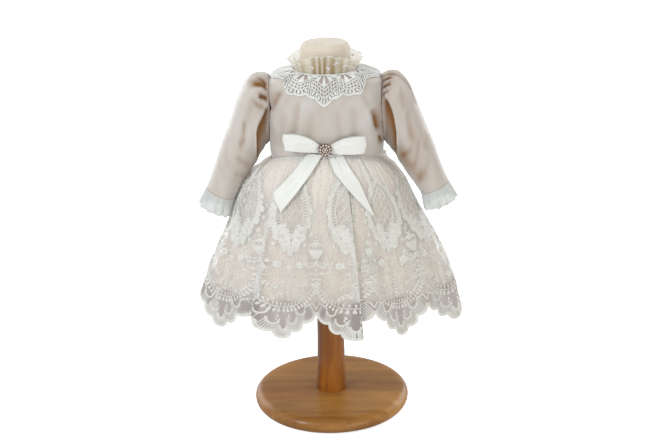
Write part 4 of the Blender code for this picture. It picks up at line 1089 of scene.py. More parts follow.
# A fan: petals outside an arc and ladder stitches inside it, turned by heading.
def fan(x, y, radius, heading):
    middle, turn = np.array([x, y]), heading + np.linspace(-105, 105, 9)
    line = headingWay(heading + np.linspace(-105, 105, 22))
    outer = middle + radius * 0.95 * headingWay(turn)
    return [strokes(middle + radius * line, 1.5, 1.0), strokes(middle + radius * 0.42 * line, 1.3, 0.9),
            bars(middle + radius * 0.45 * headingWay(turn), outer, 1.0),
            leaves(*outer.T, turn, 4.0, 3.4, 1.0, True)]


# A small flower: petals round a bead, with a pair of leaves if wanted.
def blossom(x, y, petals, size, heading=0.0, leaf=True):
    turn = heading + np.arange(petals) / petals * 360
    made = [leaves(x, y, turn, 5.2 * size, 3.8 * size, 1.1, True), bead(x, y, 1.5)]
    if leaf:
        made.append(leaves(x, y, [heading + 100, heading - 100], 9.0 * size, 2.6 * size, 0.8))
    return made


# A wheel: short satin rays round a bead.
def wheel(x, y, size, rays=9):
    turn = np.arange(rays) / rays * 360 + 12
    start = np.array([x, y]) + 2.2 * headingWay(turn)
    return [leaves(*start.T, turn, size - 2.2, 1.9, 0.9, True), bead(x, y)]


# A curl of cord, open to one side, with a bead at its end.
def curlCord(x, y, size, first, last, width=1.3):
    path = np.array([x, y]) + size * headingWay(np.linspace(first, last, 14))
    return [strokes(path, width, 0.8), bead(*path[-1], 1.2)]


# A sprig: a stem from one place to another with pairs of small leaves.
def sprig(x0, y0, x1, y1, pairs=4, size=5.2, wide=2.2):
    start, run = np.array([x0, y0]), np.array([x1 - x0, y1 - y0])
    way = math.degrees(math.atan2(*run))
    x, y = (start + run * np.linspace(0.12, 0.95, pairs)[:, None]).T
    return [strokes(start + run * np.linspace(0, 1, 6)[:, None], 1.0, 0.7),
            leaves(x1, y1, way, size, wide, 0.9, True),
            *(leaves(x, y, way + turn, size, wide, 0.9, True) for turn in (-48, 48))]


# Between two medallions: a finial over a dome, a full cup of petals, two fans under it with
# ladders that curl away from them, and a small upright sprig.
def bell():
    share = np.linspace(0, 1, 7)
    ladder = pointsOf(13 + 10 * share ** 0.6, 168 + 15 * share)
    half = fan(10, 169, 8.0, 35) + curlCord(6.5, 134.5, 1.8, 0, 230, 1.0)
    half += curlCord(22, 161, 3.0, 60, -170) + curlCord(19, 190, 3.6, -20, 230, 1.6)
    half += [bars(ladder, ladder + [4.4, 1.6], 1.2), strokes(ladder + [4.4, 1.6], 1.1, 0.9),
             leaves(9, 186, [30, 80], 6.0, 2.2, 0.9), leaves(4.5, 190, [130, 100], 6.5, 2.2, 0.9, True),
             leaves(2.0, 197, [95, 60], 7.0, 2.4, 0.9, True)]
    made = bothSides(half) + sprig(0, 200, 0, 184, 3, 4.2)
    made += blossom(0, 172, 5, 0.8, 36) + blossom(0, 208, 5, 0.9, 0, False)
    return made + [
        strokes([(0, 122), (0, 130), (0, 137)], 1.2), leaves(0, 121, 0, 5, 2.8, 1.2, True),
        leaves(0, 136, [90, -90], 6.5, 2.4, 0.9), leaves(0, 138, [-9, 9], 12.0, 3.0, 0.6),
        leaves(0, 137, [-52, -30, 30, 52], [17, 14, 14, 17], 3.4, 0.8),
        strokes([(x, 150.5 - 0.012 * x * x) for x in np.linspace(-13, 13, 8)], 1.5, 1.0),
        leaves(np.linspace(-10.5, 10.5, 6), 150.5, np.linspace(30, -30, 6), 12.0, 5.6, 1.2, True),
        leaves(np.linspace(-6, 6, 3), 156, np.linspace(24, -24, 3), 10.0, 6.0, 1.4, True),
        leaves(0, 214, [-60, -20, 20, 60], 7.0, 2.4, 0.9, True)]


# Under a medallion: two roses, two wheels between them, curls, and sprigs that fall to the
# garland.
def spray():
    half = blossom(18, 176, 6, 1.25, 0, False) + blossom(18, 176, 5, 0.7, 36, False)
    half += sprig(34, 204, 19, 212, 4, 5.2) + sprig(5, 219, 21, 230, 4, 4.8)
    half += curlCord(31, 197, 4.0, -30, 220, 1.5) + curlCord(5, 208, 2.6, -60, 190, 1.1)
    half += [leaves(26, 171, [70, 110], 7.0, 2.6, 0.9), leaves(10, 172, [-60, -120], 6.0, 2.2, 0.9),
             leaves(8, 226, [20, 70, 130], 5.2, 2.2, 0.9, True)]
    made = bothSides(half) + sprig(0, 200, 0, 232, 6, 5.0) + blossom(0, 181, 5, 0.8, 0)
    for sign in (-1, 1):
        made += wheel(sign * 9.5, 193, 6.8) + wheel(sign * 30, 184, 5.6, 8)
    return made + [leaves(0, 157, [0, 55, -55], [5.5, 4.5, 4.5], 2.0, 0.9)]


# Garland over each point of the hem: a stem that dips to the middle, with drop-shaped leaves
# hanging from it and slimmer ones standing on it.
def garland():
    share = np.linspace(-0.5, 0.5, 81)
    line = pointsOf(share * 100, laceCut["garlandLow"] - laceCut["garlandRise"] * np.abs(2 * share) ** 2.1)
    x, y = evenSteps(line, 27)[0].T
    return [strokes(line, 1.7, 0.9), drops(x, y, x * 1.25, 9.0, 4.2),
            drops(x + 1.5, y, 180 - x * 0.3, 7.6, 2.7)]


# Hem of one repeat, nominal width 100 mm: a satin edge along the lobes, a band of ladder
# stitches, and scalloped cords round the windows of plain net: an oval on each side, a pair of
# round ones that meet over a keyhole in the tip, and half a V at each valley.
def hemBorder():
    share, level = hemEdge(240)
    edge, way = evenSteps(pointsOf(share * 100 - 50, dropAt(level)), 240)
    band = edge + quarterTurn(way) * 1.6
    bell7 = np.hanning(7) / np.hanning(7).sum()
    band = pointsOf(*(np.convolve(np.pad(column, 3, mode="edge"), bell7, "valid") for column in band.T))
    top = dropAt(skirtCut["valley"])
    # centre x, y, half width, half height, first and last heading of each cord
    windows = [(25.5, top - 3, 5.4, 6.5, -95, 100), (12.0, top + 11.5, 6.3, 8.0, -60, 105),
               (0.0, top + 21.0, 3.9, 9.5, 0, 78)]
    valleyCord = [(45, -15), (41, -14.2), (37, -12.6), (34, -10), (32.6, -6)]
    keyhole = [7.0, top + 13.2] + [2.2, -2.6] * headingWay(np.linspace(10, 290, 18))
    half = [strokes([x, y] + [wide + 1.4, tall + 1.4] * headingWay(np.linspace(first, last, 26)), 2.9, 1.0)
            for x, y, wide, tall, first, last in windows]
    half += [strokes([(49.6, top - 5.0), (45.0, top - 15.0)], 2.4, 1.0),
             strokes(np.array(valleyCord) + [0, top], 2.4, 1.0), strokes(keyhole, 1.8, 1.1),
             leaves(6.8, top + 11.5, 165, 5.5, 2.6, 1.1, True)]
    # Ladder stitches: each runs inwards from the satin edge until it meets a window.
    base, reach = np.linspace(0.03, 1.0, 25)[:, None], np.linspace(-16, 42, 233)
    x0, y0 = 50 - 50 * base, top + 47 * base
    lean = -0.62 * np.clip(x0 / 13, 0, 1)
    size = np.hypot(lean, -1.0)
    x, y = x0 + lean / size * reach, y0 - 1.0 / size * reach
    order = np.argsort(edge[:, 0])
    cloth = y < np.interp(x, edge[order, 0], edge[order, 1]) - 3.0
    window = (y < top - 13.5 + np.clip(36 - x, 0, 4) * 0.9) | ((x > 46.0) & (y < top - 8))
    window |= (x < 10) & (y < top + 10)
    for place, down, wide, tall, _, _ in windows:
        window |= ((x - place) / (wide + 1.5)) ** 2 + ((y - down) / (tall + 1.5)) ** 2 < 1
    first = cloth.argmax(axis=1)
    shut = window & (np.arange(len(reach)) > first[:, None])
    last = np.where(shut.any(axis=1), shut.argmax(axis=1), 0)
    row = np.nonzero(last - first > 8)[0]
    start, end = (pointsOf(x[row, at[row]], y[row, at[row]]) for at in (first, last))
    return [strokes(band, 4.6, 1.3)] + bothSides(half + [bars(start, end, 1.5)])


# A strip of petals where a medallion's border runs up to the waist seam.
def petalStrip():
    made = [strokes([(-1.4, 6.0), (1.6, 22.0), (4.2, 38.0), (7.0, 54.0)], 2.6, 0.9)]
    for number, drop in enumerate(np.arange(9.0, 52.0, 6.6)):
        x = -1.0 + 0.16 * drop + 0.8 * math.sin(number * 2.1)
        made.append(leaves(x, drop, [52, 88, 124], [6.4, 7.6, 6.0], 4.4, 1.0, True))
        made.append(leaves(x + 1.0, drop + 1.0, [80, 110], 4.2, 2.0, 1.5, True))
    return made


laceTable = surfaceTable(skirtPoint, np.arange(162.0, 433.6, 1.0), np.arange(-215.0, 215.2, 0.25))


# Real-size placing: millimetres across become degrees by the swell's own radius there, with
# wide places given slightly wider motifs.
def laidReal(middle, narrow=1.0, short=1.0, fold=99.0):
    def radiusAt(level, angle):
        left, right = (ringPoint(skirtCut["rings"], level, np.radians(angle) + step)
                       for step in (-0.01, 0.01))
        return np.linalg.norm(right - left, axis=-1) / 0.02

    def placer(x, drop, height):
        x, level = x * narrow, levelAt(156 - (156 - drop) * short)
        x = np.minimum(x, fold) + 0.3 * np.maximum(x - fold, 0)
        radius = radiusAt(level, middle) ** 0.6 * radiusAt(level, -30.0) ** 0.4
        return laidOn(laceTable, level, middle + np.degrees(x / radius), height + laceCut["stand"])
    return placer


# Placing by share of a repeat, 100 mm nominal, so that borders meet from point to point.
def laidShare(repeat):
    def placer(x, drop, height):
        return laidOn(laceTable, levelAt(drop), angleAt(repeat + 0.5 + x / 100), height + laceCut["stand"])
    return placer


pointPlaces = [apart(angleAt(k + 0.5)) + laceCut["shift"].get(k, 0.0) for k in range(repeats)]
borderPlacers = [laidShare(k) for k in range(repeats)]
laceAll = [stitchedPiece(name, groups, placers, viscoseThread) for name, groups, placers in (
    ("laceMedallions", medallion(),
     [laidReal(a, *laceCut["pinched"].get(k, ())) for k, a in enumerate(pointPlaces)]),
    ("laceBells", bell(),
     [laidReal(apart(angleAt(k)), laceCut["narrowBell"].get(k, 1.0)) for k in range(repeats)]),
    ("laceSprays", spray(), [laidReal(a) for a in pointPlaces]),
    ("laceGarlands", garland(), borderPlacers),
    ("laceHem", hemBorder(), borderPlacers),
    ("lacePetalStrip", petalStrip(), [laidReal(37.0)]))]
print("skirt embroidered", [len(p.data.polygons) for p in laceAll])


collarCut = {
    "scallops": 28, "scallopDepth": 2.2, "top": 579.6, "raise": 1.1,
    "deep": 45.0, "perDegree": 1.08,   # nominal depth and length in mm
    "end": 179.4, "sectors": [20.5, 48, 84, 120, 148, 179.4],   # degrees from the front, both ways
}


# Surface under the collar: share 0 at the neck, 1 at the scalloped edge.
def collarPoint(share, degrees):
    cut = collarCut
    share, degrees = np.broadcast_arrays(share, degrees)
    lower = collarEdge(degrees)
    scallop = np.abs(np.sin(cut["scallops"] * (np.radians(degrees) + math.pi) / 2))
    lower = lower - cut["scallopDepth"] * scallop * np.clip((neck - lower) / 25, 0.25, 1)
    return bodiceOut(cut["top"] + (lower - cut["top"]) * share, np.radians(degrees),
                     np.full(share.shape, cut["raise"]))


# One sector of the collar between two places: a fan of three drops over three cords, with
# ladders between them and a row of ovals, each with a leaf in it.
def collarSector(a, b):
    middle, half = (a + b) / 2, (b - a) / 2
    made = [strokes(pointsOf(x, np.linspace(1, 41, 12)), 1.7, 0.9) for x in (a, b)]
    turns = np.array([-50, 0, 50])
    made.append(drops(middle + turns * 0.09, 2.5, turns, [12.5, 14.5, 12.5], [6.4, 7.2, 6.4]))
    made.append(drops(middle + turns[[0, 2]] * 0.17, 2.0, [-72, 72], 12.0, 4.8))
    across = np.linspace(a + 2, b - 2, 15)
    dipped = pointsOf(across, 8.6 + 6.6 * np.clip(1 - np.abs(across - middle) / half, 0, 1) ** 0.85)
    made += [strokes(dipped, 1.7, 0.8), bars(dipped[1:-1:2], dipped[1:-1:2] + [0, 4.0], 1.5)]
    line = np.linspace(a, b, 25)
    dip = 7.0 * np.clip(1 - np.abs(line - middle) / half, 0, 1) ** 0.85
    cords = [13.0 + dip, 18.8 + dip, 24.6 + dip]
    made += [strokes(pointsOf(line, cord), 1.9, 0.9) for cord in cords]
    rung = np.arange(a + 2.2, b - 1, 4.3)
    for upper, lower in zip(cords[:-1], cords[1:]):
        made.append(bars(pointsOf(rung, np.interp(rung, line, upper)),
                         pointsOf(rung + 0.3, np.interp(rung, line, lower)), 1.5))
    count = max(3, int(round((b - a) / 8.8)))
    oval = a + (b - a) * (np.arange(count) + 0.5) / count
    tilt = (oval - middle) / half * 34
    y = 34.2 + 0.3 * np.interp(oval, line, dip)
    made.append(loopCords(oval, y, (b - a) / count * 0.94, 12.0, 1.8, tilt, 1.0))
    made.append(leaves(oval - np.sin(np.radians(tilt)) * 3.4, y - 4.0, tilt, 8.4, 3.4, 1.1, True))
    made.append(bars(pointsOf(oval, y - 5.8), pointsOf(oval, np.interp(oval, line, cords[2])), 1.3))
    between = a + (b - a) * np.arange(1, count) / count
    made.append(bars(pointsOf(between, 38.0), pointsOf(between, 43.0), 1.6))
    return made


# Guipure: cords along the neck and the scallops, and the sectors between them.
def guipure():
    cut = collarCut
    full = np.linspace(-cut["end"], cut["end"], 900) * cut["perDegree"]
    made = [strokes(pointsOf(full, y), width, rise) for y, width, rise in ((1.2, 2.6, 0.9), (43.2, 4.4, 1.1))]
    edges = [-place for place in cut["sectors"][::-1]] + cut["sectors"]
    for low, high in zip(edges[:-1], edges[1:]):
        made += collarSector(low * cut["perDegree"] + 1.3, high * cut["perDegree"] - 1.3)
    return made


collarTable = surfaceTable(collarPoint, np.linspace(0, 1.03, 130), np.arange(-180, 180.1, 0.5))


def laidCollar(x, y, height):
    return laidOn(collarTable, y / collarCut["deep"], x / collarCut["perDegree"], height)


collarLace = stitchedPiece("collarLace", guipure(), [laidCollar], guipureCotton)
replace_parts(collarLace, "collar_lace")
collarSizes = np.empty(len(collarLace.data.polygons), np.float32)
collarLace.data.polygons.foreach_get("area", collarSizes)


frillCut = {"height": 29.0, "sideDrop": 15.0, "flare": 3.0, "sideFlare": 6.0, "ripple": 2.6, "waves": 16,
            "deep": 28.0, "perDegree": 0.92, "rows": 26, "columns": 600, "end": 179.8}


# The frill stands on the neck seam: share 0 there, 1 at its top, which dips at the sides.
def neckFrillPoint(share, degrees):
    cut = frillCut
    share, degrees = np.broadcast_arrays(share, degrees)
    angle = np.radians(degrees)
    base = bodicePoint(np.full(angle.shape, neck), angle)
    side = np.sin(angle) ** 2
    swing = np.cos(cut["waves"] * angle + 1.1 * np.sin(3 * angle + 0.6) + 0.7 * np.sin(5 * angle))
    ripple = cut["ripple"] * (0.75 + 0.25 * np.sin(7 * angle + 1)) * share * swing
    ripple = ripple + 0.45 * np.clip(share * 4, 0, 1) * np.sin(47 * angle + 2 * np.sin(6 * angle))
    away = (cut["flare"] + cut["sideFlare"] * side) * share ** 1.6 + ripple
    drift = share * (0.9 * np.sin(13 * angle) + 0.6 * np.sin(29 * angle + 1))
    point = pressedIn(base, -away)
    point[..., 2] += 0.3 + (cut["height"] - cut["sideDrop"] * side + drift) * share
    return point


# Small flowers strewn over the frill, two to four together, and a cord along its foot.
def neckFlowerWork():
    cut = frillCut
    made = []
    for place in np.linspace(-172, 172, 17) + chance.uniform(-6, 6, 17):
        low = chance.uniform(8, 20)
        group = ((0, 0), (3.6, 1.5), (-3.2, 2.4), (0.6, 5.0))[:int(chance.integers(2, 5))]
        for away, rise in group:
            turn = float(chance.uniform(0, 70))
            made += blossom(place * cut["perDegree"] + away, low + rise, 5, 0.4, turn, False)
    foot = np.linspace(-cut["end"], cut["end"], cut["columns"]) * cut["perDegree"]
    return made + [strokes(pointsOf(foot, 0.6), 1.1, 0.5)]


frillAngles = np.linspace(-frillCut["end"], frillCut["end"], frillCut["columns"])
neckGrid = neckFrillPoint(np.linspace(1, 0, frillCut["rows"])[:, None], frillAngles[None, :])
neckFlat = neckGrid.reshape(-1, 3)
neckFaces = facedAway(neckFlat, gridFaces(*neckGrid.shape[:2]))   # up, towards the neck
# Painted shade in the gathers: in the hollows between the folds the net is denser and tinted tan, most in
# front.
frillTurn = np.radians(frillAngles)
gathers = 0.5 + 0.5 * np.sin(23 * frillTurn + 2.2 * np.sin(3 * frillTurn) + 1.4 * np.sin(8 * frillTurn + 1))
gathers = np.cos(0.9 * frillTurn) ** 2 * np.clip(0.34 + 0.8 * gathers ** 1.2, 0, 1)
gathers = gathers * np.linspace(0.75, 1, frillCut["rows"])[:, None]
neckFrill = makePiece("neckFrill", neckFlat, [neckFaces], neckTulle, clothMap(neckGrid),
                      shade=gathers.ravel())
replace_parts(neckFrill, "neck_frill")
neckTable = surfaceTable(neckFrillPoint, np.linspace(0, 1, 30), np.arange(-180, 180.1, 0.5))


def laidNeckFrill(x, y, height):
    return laidOn(neckTable, 1 - y / frillCut["deep"], x / frillCut["perDegree"], height + 0.1)


neckFlowers = stitchedPiece("neckFrillFlowers", neckFlowerWork(), [laidNeckFrill], guipureCotton)
print("neck frill made", round(gridArea(neckGrid), 4))


cuffCut = {"length": 28.0, "swell": 0.13, "ripple": 2.6, "waves": 10, "start": -3.6, "lean": (0.34, 0, -0.96),
           "columns": 384, "rows": 20, "hemRadius": 0.55}


# A cuff's frill: the last section of the sleeve carried down, swelling into uneven ripples, with
# a corded hem.
def makeCuffFrill(side):
    cut = cuffCut
    turn = evenTurns(cut["columns"])
    share = np.linspace(0, 1, cut["rows"])[:, None]
    seed = 1.0 if side == "left" else 2.4
    swing = np.cos(cut["waves"] * turn + 1.3 * np.sin(3 * turn + seed) + 0.8 * np.sin(5 * turn + 2 * seed))
    small = 0.3 * np.sin(41 * turn + 2 * np.sin(4 * turn + seed)) * np.clip(share * 5, 0, 1)
    ripple = cut["ripple"] * (0.15 + 0.85 * share) * swing * (0.8 + 0.2 * np.sin(7 * turn + seed)) + small
    full = 1 + cut["swell"] * share + ripple / 24.0
    drift = 0.8 * np.sin(11 * turn + seed) + 0.6 * np.sin(23 * turn)
    down = cut["start"] + (cut["length"] + drift * share) * share
    points = sectionRing(len(sleeveCut["sections"]) - 1, side, turn, full[..., None])
    points = points + np.array(cut["lean"]) * down[..., None]
    if side == "left":
        points = points * mirrored
    centre = points.mean(axis=1, keepdims=True)
    flat = points.reshape(-1, 3)
    faces = facedAway(flat, gridFaces(cut["rows"], cut["columns"], True),
                      np.broadcast_to(centre, points.shape).reshape(-1, 3))
    uv = clothMap(points)
    name = "cuffFrill" + side.capitalize()
    piece = makePiece(name, flat, [faces], cuffTulle, uv, float(uv[:, 0].max()) + 0.0005)
    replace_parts(piece, "cuff_frill_" + side)
    hem = closedCord(name + "Hem", points[-1], points[-1] - centre[-1], cut["hemRadius"], 6, viscoseThread)
    print("cuff frill made", side, round(gridArea(points, True), 4))


for side in sides:
    makeCuffFrill(side)


bowCut = {
    "onTop": 0.55, "thick": 1.0, "clear": 0.5, "knot": (13.0, 7.0, 17.0), "loopStart": 0.4, "straight": 0.68,
    "puff": 4.6, "ribbonThick": 0.6, "loopEase": 1.06, "tailFlat": (0.115, 0.034),
    "loops": {  # reach, middle at the knot, middle at the end, width at the knot, width at the end
        "front": {"left": (-64, 466, 478, 12, 26), "right": (62.5, 466, 473, 12, 27)},
        "back": {"left": (-84, 441, 417, 13, 27), "right": (96, 441, 412, 13, 19)}},
    "tails": {  # two edges: near x, near z, far x, far z
        "front": {"left": [(-4.5, 457, -27, 458.5), (-26, 428, -52, 431), (-70, 373, -82, 401)],
                  "right": [(3, 457, 25.5, 457), (14.5, 434, 53, 419), (72, 367.5, 75, 368.5)]},
        "back": {"left": [(-4, 431.5, -25, 430), (-16, 398, -43, 392), (-50, 322, -66, 348)],
                 "right": [(4, 431.5, 25, 430), (20, 396, 46, 388), (52, 338, 73, 312)]}},
    "knotLevel": {"front": 467.0, "back": 441.0},
}


# How far the gown's front or back stands from the plane of the arms at x, z: the bodice's and
# the skirt's ovals, solved for the level whose lifted ring passes through z.
def gownDepth(x, z, back):
    x, z = np.broadcast_arrays(np.asarray(x, float), np.asarray(z, float))
    best = np.zeros(x.shape)
    for rings in (bodiceCut["rings"], skirtCut["rings"]):
        level = np.array(z)
        for _ in range(14):
            half, front, behind, square, lift = ringSizes(rings, level)
            share = np.clip(1 - (np.abs(x) / half) ** square, 0, 1) ** (1 / square)
            level = level + 0.6 * (z - (0 if back else lift * share ** 1.3) - level)
        lowest, highest = sorted((rings[0][0], rings[-1][0]))
        here = (level > lowest - 1) & (level < highest + 1)
        best = np.maximum(best, np.where(here, (behind if back else front) * share, 0))
    return best


# A ribbon piece from its flat places and its depth in front of the arms' plane, or behind it.
def ribbonWall(name, node, x, z, depth, back, wrap, flat):
    grid = pointsOf(x, depth if back else -depth, z)
    piece = clothWall(name, grid, bowCut["ribbonThick"], slubRibbon, wrap=wrap)
    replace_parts(piece, node)
    return piece, min(gridArea(grid, wrap), flat[0] * flat[1])


# A loop of ribbon: a long flat ring seen side on, drawn together in folds at the knot.
def makeLoop(where, side):
    cut = bowCut
    back = where == "back"
    reach, knotZ, endZ, knotWide, endWide = cut["loops"][where][side]
    way = math.copysign(1, reach)
    start = cut["knot"][0] / 2 + cut["loopStart"]
    turn = evenTurns(72)
    across = np.linspace(-0.5, 0.5, 17)[:, None]
    share = (1 - np.cos(turn)) / 2
    x = way * (start + (abs(reach) - start) * share + 1.3 * share ** 6 * np.cos(across * 5.0 + reach))
    fullest = cut["puff"] * (0.5 + 0.5 * share)
    front = np.clip(np.sin(turn) * 3, -1, 1)
    folds = 0.8 * (1 - share) ** 1.6 * np.cos(across * 14 + reach) * np.clip(share * 8, 0.15, 1) * front
    wave = 0.45 * np.sin(share * 5 + across * 4 + reach) * share
    fuller = 1 - (1 - share) ** 2.4
    z = knotZ + (endZ - knotZ) * fuller + (knotWide + (endWide - knotWide) * fuller) * across
    z = z - 2.4 * share * (1 - share) * (0.5 - across)
    z = z + 1.6 * np.sin(math.pi * share) * np.where(across > 0, across * 2, across)
    depth = gownDepth(x * cut["straight"], z, back) + cut["onTop"] + cut["thick"] + cut["clear"] + fullest
    depth = depth + np.clip((fullest - 0.2) * np.sin(turn) + folds + wave * front, 0.35 - fullest, None)
    flat = (abs(reach) * 2 * mm * cut["loopEase"], endWide * mm)
    piece, area = ribbonWall(where + "BowLoop" + side.capitalize(), f"{where}_bow_loop_{side}", x, z, depth,
                             back, True, flat)


# A tail of ribbon: between two edges that run over the skirt, with soft lengthwise waves.
def makeTail(where, side):
    cut = bowCut
    back = where == "back"
    keys = np.array(cut["tails"][where][side], float)
    share = np.linspace(0, 1, 64)
    nearX, nearZ, farX, farZ = (np.interp(share, np.linspace(0, 1, len(keys)), column) for column in keys.T)
    across = np.linspace(0, 1, 21)[:, None]
    x, z = nearX + (farX - nearX) * across, nearZ + (farZ - nearZ) * across
    seed = {"left": 0.4, "right": 2.1}[side]
    waves = 0.9 * (1 - share) ** 5 * np.cos(across * 15 + seed)
    waves = waves + 0.7 * np.sin(across * 4.5 + share * 4 + seed)
    pleat = 1.5 / (1 + np.exp((across - 0.42 - 0.12 * share) * 26)) * np.clip(1.15 - share, 0, 1)
    rolled = 0.5 + 0.5 * np.sin(share * 9 + seed + across * 2)
    lifted = 1.1 * np.clip(share * 3, 0, 1) * np.abs(2 * across - 1) ** 2.5 * rolled
    depth = gownDepth(x, z, back) + (cut["onTop"] + cut["thick"] + 0.8 + waves + lifted + pleat)
    piece, area = ribbonWall(where + "BowTail" + side.capitalize(), f"{where}_bow_tail_{side}", x, z, depth,
                             back, False, cut["tailFlat"])


# A knot: a soft block of ribbon, |x|^3+|y|^3+|z|^3 = 1 stretched, with folds running round it.
# Gives back how far its middle stands from the arms' plane.
def makeKnot(where):
    cut = bowCut
    back = where == "back"
    wide, deep, tall = cut["knot"]
    level = cut["knotLevel"][where]
    turn = evenTurns(48)
    rise = np.linspace(-1, 1, 25)[:, None] * math.pi / 2
    flatX, flatY, flatZ = np.cos(rise) * np.cos(turn), np.cos(rise) * np.sin(turn), np.sin(rise) + 0 * turn
    size = (np.abs(flatX) ** 3 + np.abs(flatY) ** 3 + np.abs(flatZ) ** 3) ** (1 / 3)
    size = size * (1 + 0.05 * np.cos(flatX / size * 9 + flatZ * 1.5) * np.cos(rise))
    points = pointsOf(flatX * wide / 2, flatY * deep / 2, flatZ * tall / 2) / size[..., None]
    levels = level + np.array([-0.5, 0, 0.5]) * tall
    depth = gownDepth(0, levels, back).max() + cut["onTop"] + deep / 2
    middle = np.array([0, depth if back else -depth, level])
    flat = (points + middle).reshape(-1, 3)
    piece = makePiece(where + "BowKnot", flat, [facedAway(flat, gridFaces(25, 48, True), middle)],
                      slubRibbon, flat[:, [2, 0]] * mm)
    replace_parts(piece, where + "_bow_knot")
    return depth


knotDepths = {where: makeKnot(where) for where in ("front", "back")}
for makeRibbon in (makeLoop, makeTail):
    for where in knotDepths:
        for side in sides:
            makeRibbon(where, side)
print("bows made")


# Small turned bodies as one mesh, each about its own place (x, z, distance out, scale): the
# profile's (radius, height) goes round an axis that leaves the gown forwards, or backwards.
def turnedSet(name, profile, corners, places, material, facets=0.0, back=False, sharp=25):
    bodies, turn = [], evenTurns(corners)
    wobble = 1 + facets * np.cos(turn * corners / 2)
    for x, z, out, scale in places:
        radius, height = (np.array(profile, float).T * scale)[:, :, None]
        y = out + height if back else -(out + height)
        points = pointsOf(x + radius * np.cos(turn) * wobble, y, z + radius * np.sin(turn) * wobble)
        flat = points.reshape(-1, 3)
        bodies.append((flat, facedAway(flat, gridFaces(len(points), corners, True), flat.mean(axis=0))))
    points, faces = joined(bodies)
    return makePiece(name, points, [faces], material, sharp=sharp)


broochCut = {
    "stones": 11, "firstTurn": 0.2,
    # rings of parts: radius, height over the plate's foot, scale
    "foot": (0.0, 0.0, 1.0), "outer": (7.6, 1.2, 1.0), "inner": (3.6, 2.3, 0.9), "centre": (0.0, 3.1, 1.1),
    "outerBalls": (9.6, 0.9, 0.9), "innerBalls": (5.5, 1.9, 0.8),
    # turned outlines: radius, height
    "plate": [(0, 1.6), (6.0, 1.6), (9.2, 1.3), (10.4, 0.7), (10.2, 0), (0, 0)],
    "cup": [(0, 0.1), (1.2, 0.1), (2.3, 0.2), (2.45, 1.0), (2.1, 1.5), (1.7, 1.5), (1.7, 0.8), (0, 0.8)],
    "stone": [(0, 0.7), (1.8, 0.8), (1.9, 1.2), (1.25, 2.0), (0.7, 2.2), (0, 2.2)],
    "ball": [(0, 0), (0.55, 0.1), (0.9, 0.55), (0.85, 1.1), (0.45, 1.5), (0, 1.6)],
}


# Places of one ring of the brooch's parts.
def broochRing(kind, turns):
    radius, height, scale = broochCut[kind]
    middle, out = bowCut["knotLevel"]["front"], knotDepths["front"] + bowCut["knot"][1] / 2 + 0.3 + height
    return [(radius * math.cos(turn), middle + radius * math.sin(turn), out, scale) for turn in turns]


stoneTurns = evenTurns(broochCut["stones"]) + broochCut["firstTurn"]
settings = broochRing("outer", stoneTurns) + broochRing("inner", evenTurns(6)) + broochRing("centre", [0])
balls = broochRing("outerBalls", stoneTurns + 0.285) + broochRing("innerBalls", stoneTurns + 0.1)
foot = broochRing("foot", [0])
broochPlate = turnedSet("broochPlate", broochCut["plate"], 44, foot, antiqueBrass, 0.05)
turnedSet("broochCups", broochCut["cup"], 14, settings, antiqueBrass)
turnedSet("broochStones", broochCut["stone"], 8, settings, roseGlass)
turnedSet("broochBalls", broochCut["ball"], 8, balls, antiqueBrass)
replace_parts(broochPlate, "brooch")
print("brooch made")


# Four small buttons down the back, left of the opening as the wearer stands.
buttonCut = {"levels": (545.0, 521.0, 497.0, 473.0), "x": 5.5,
             "profile": [(0, 1.45), (2.0, 1.35), (2.9, 1.6), (3.7, 2.15), (4.25, 2.0), (4.5, 1.3), (4.3, 0.4),
                         (3.6, 0), (0, 0)]}
for number, level in enumerate(buttonCut["levels"], start=1):
    depth = float(gownDepth(buttonCut["x"], level, True)) + bowCut["onTop"]
    button = turnedSet(f"backButton{number}", buttonCut["profile"], 40, [(buttonCut["x"], level, depth, 1.0)],
                       pearlPolyester, back=True, sharp=40)
    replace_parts(button, f"back_button_{number}")
print("buttons made")


stitchCut = {"long": 2.4, "gap": 1.4, "radius": 0.22, "fromSlit": 2, "fromTop": 8, "fromWaist": 6}


# A row of stitches along a path over cloth: each is a four-sided rod that bows out a little.
def stitchRow(path, outward):
    cut = stitchCut
    along, step = distanceAlong(path), cut["long"] + cut["gap"]
    start = np.arange(int(along[-1] // step))[:, None] * step + cut["gap"] / 2
    want = start + cut["long"] * np.array([0, 0.5, 1.0])
    place, lift = (pointsOf(*(np.interp(want, along, column) for column in values.T))
                   for values in (path, outward))
    side = np.cross(unitLong(place[:, -1:] - place[:, :1]), lift)
    place = place + lift * np.array([0.05, 0.35, 0.05])[:, None]
    turn = evenTurns(4)[:, None]
    ring = place[:, :, None] + cut["radius"] * (
        lift[:, :, None] * np.cos(turn) + side[:, :, None] * np.sin(turn))
    first = 12 * np.arange(len(start))[:, None, None] + 4 * np.arange(2)[:, None]
    a, b = np.arange(4), (np.arange(4) + 1) % 4
    quads = np.stack([first + a, first + b, first + 4 + b, first + 4 + a], -1).reshape(-1, 4)
    ends = 12 * np.arange(len(start))[:, None]
    return ring.reshape(-1, 3), np.concatenate([quads, ends + [3, 2, 1, 0], ends + [8, 9, 10, 11]])


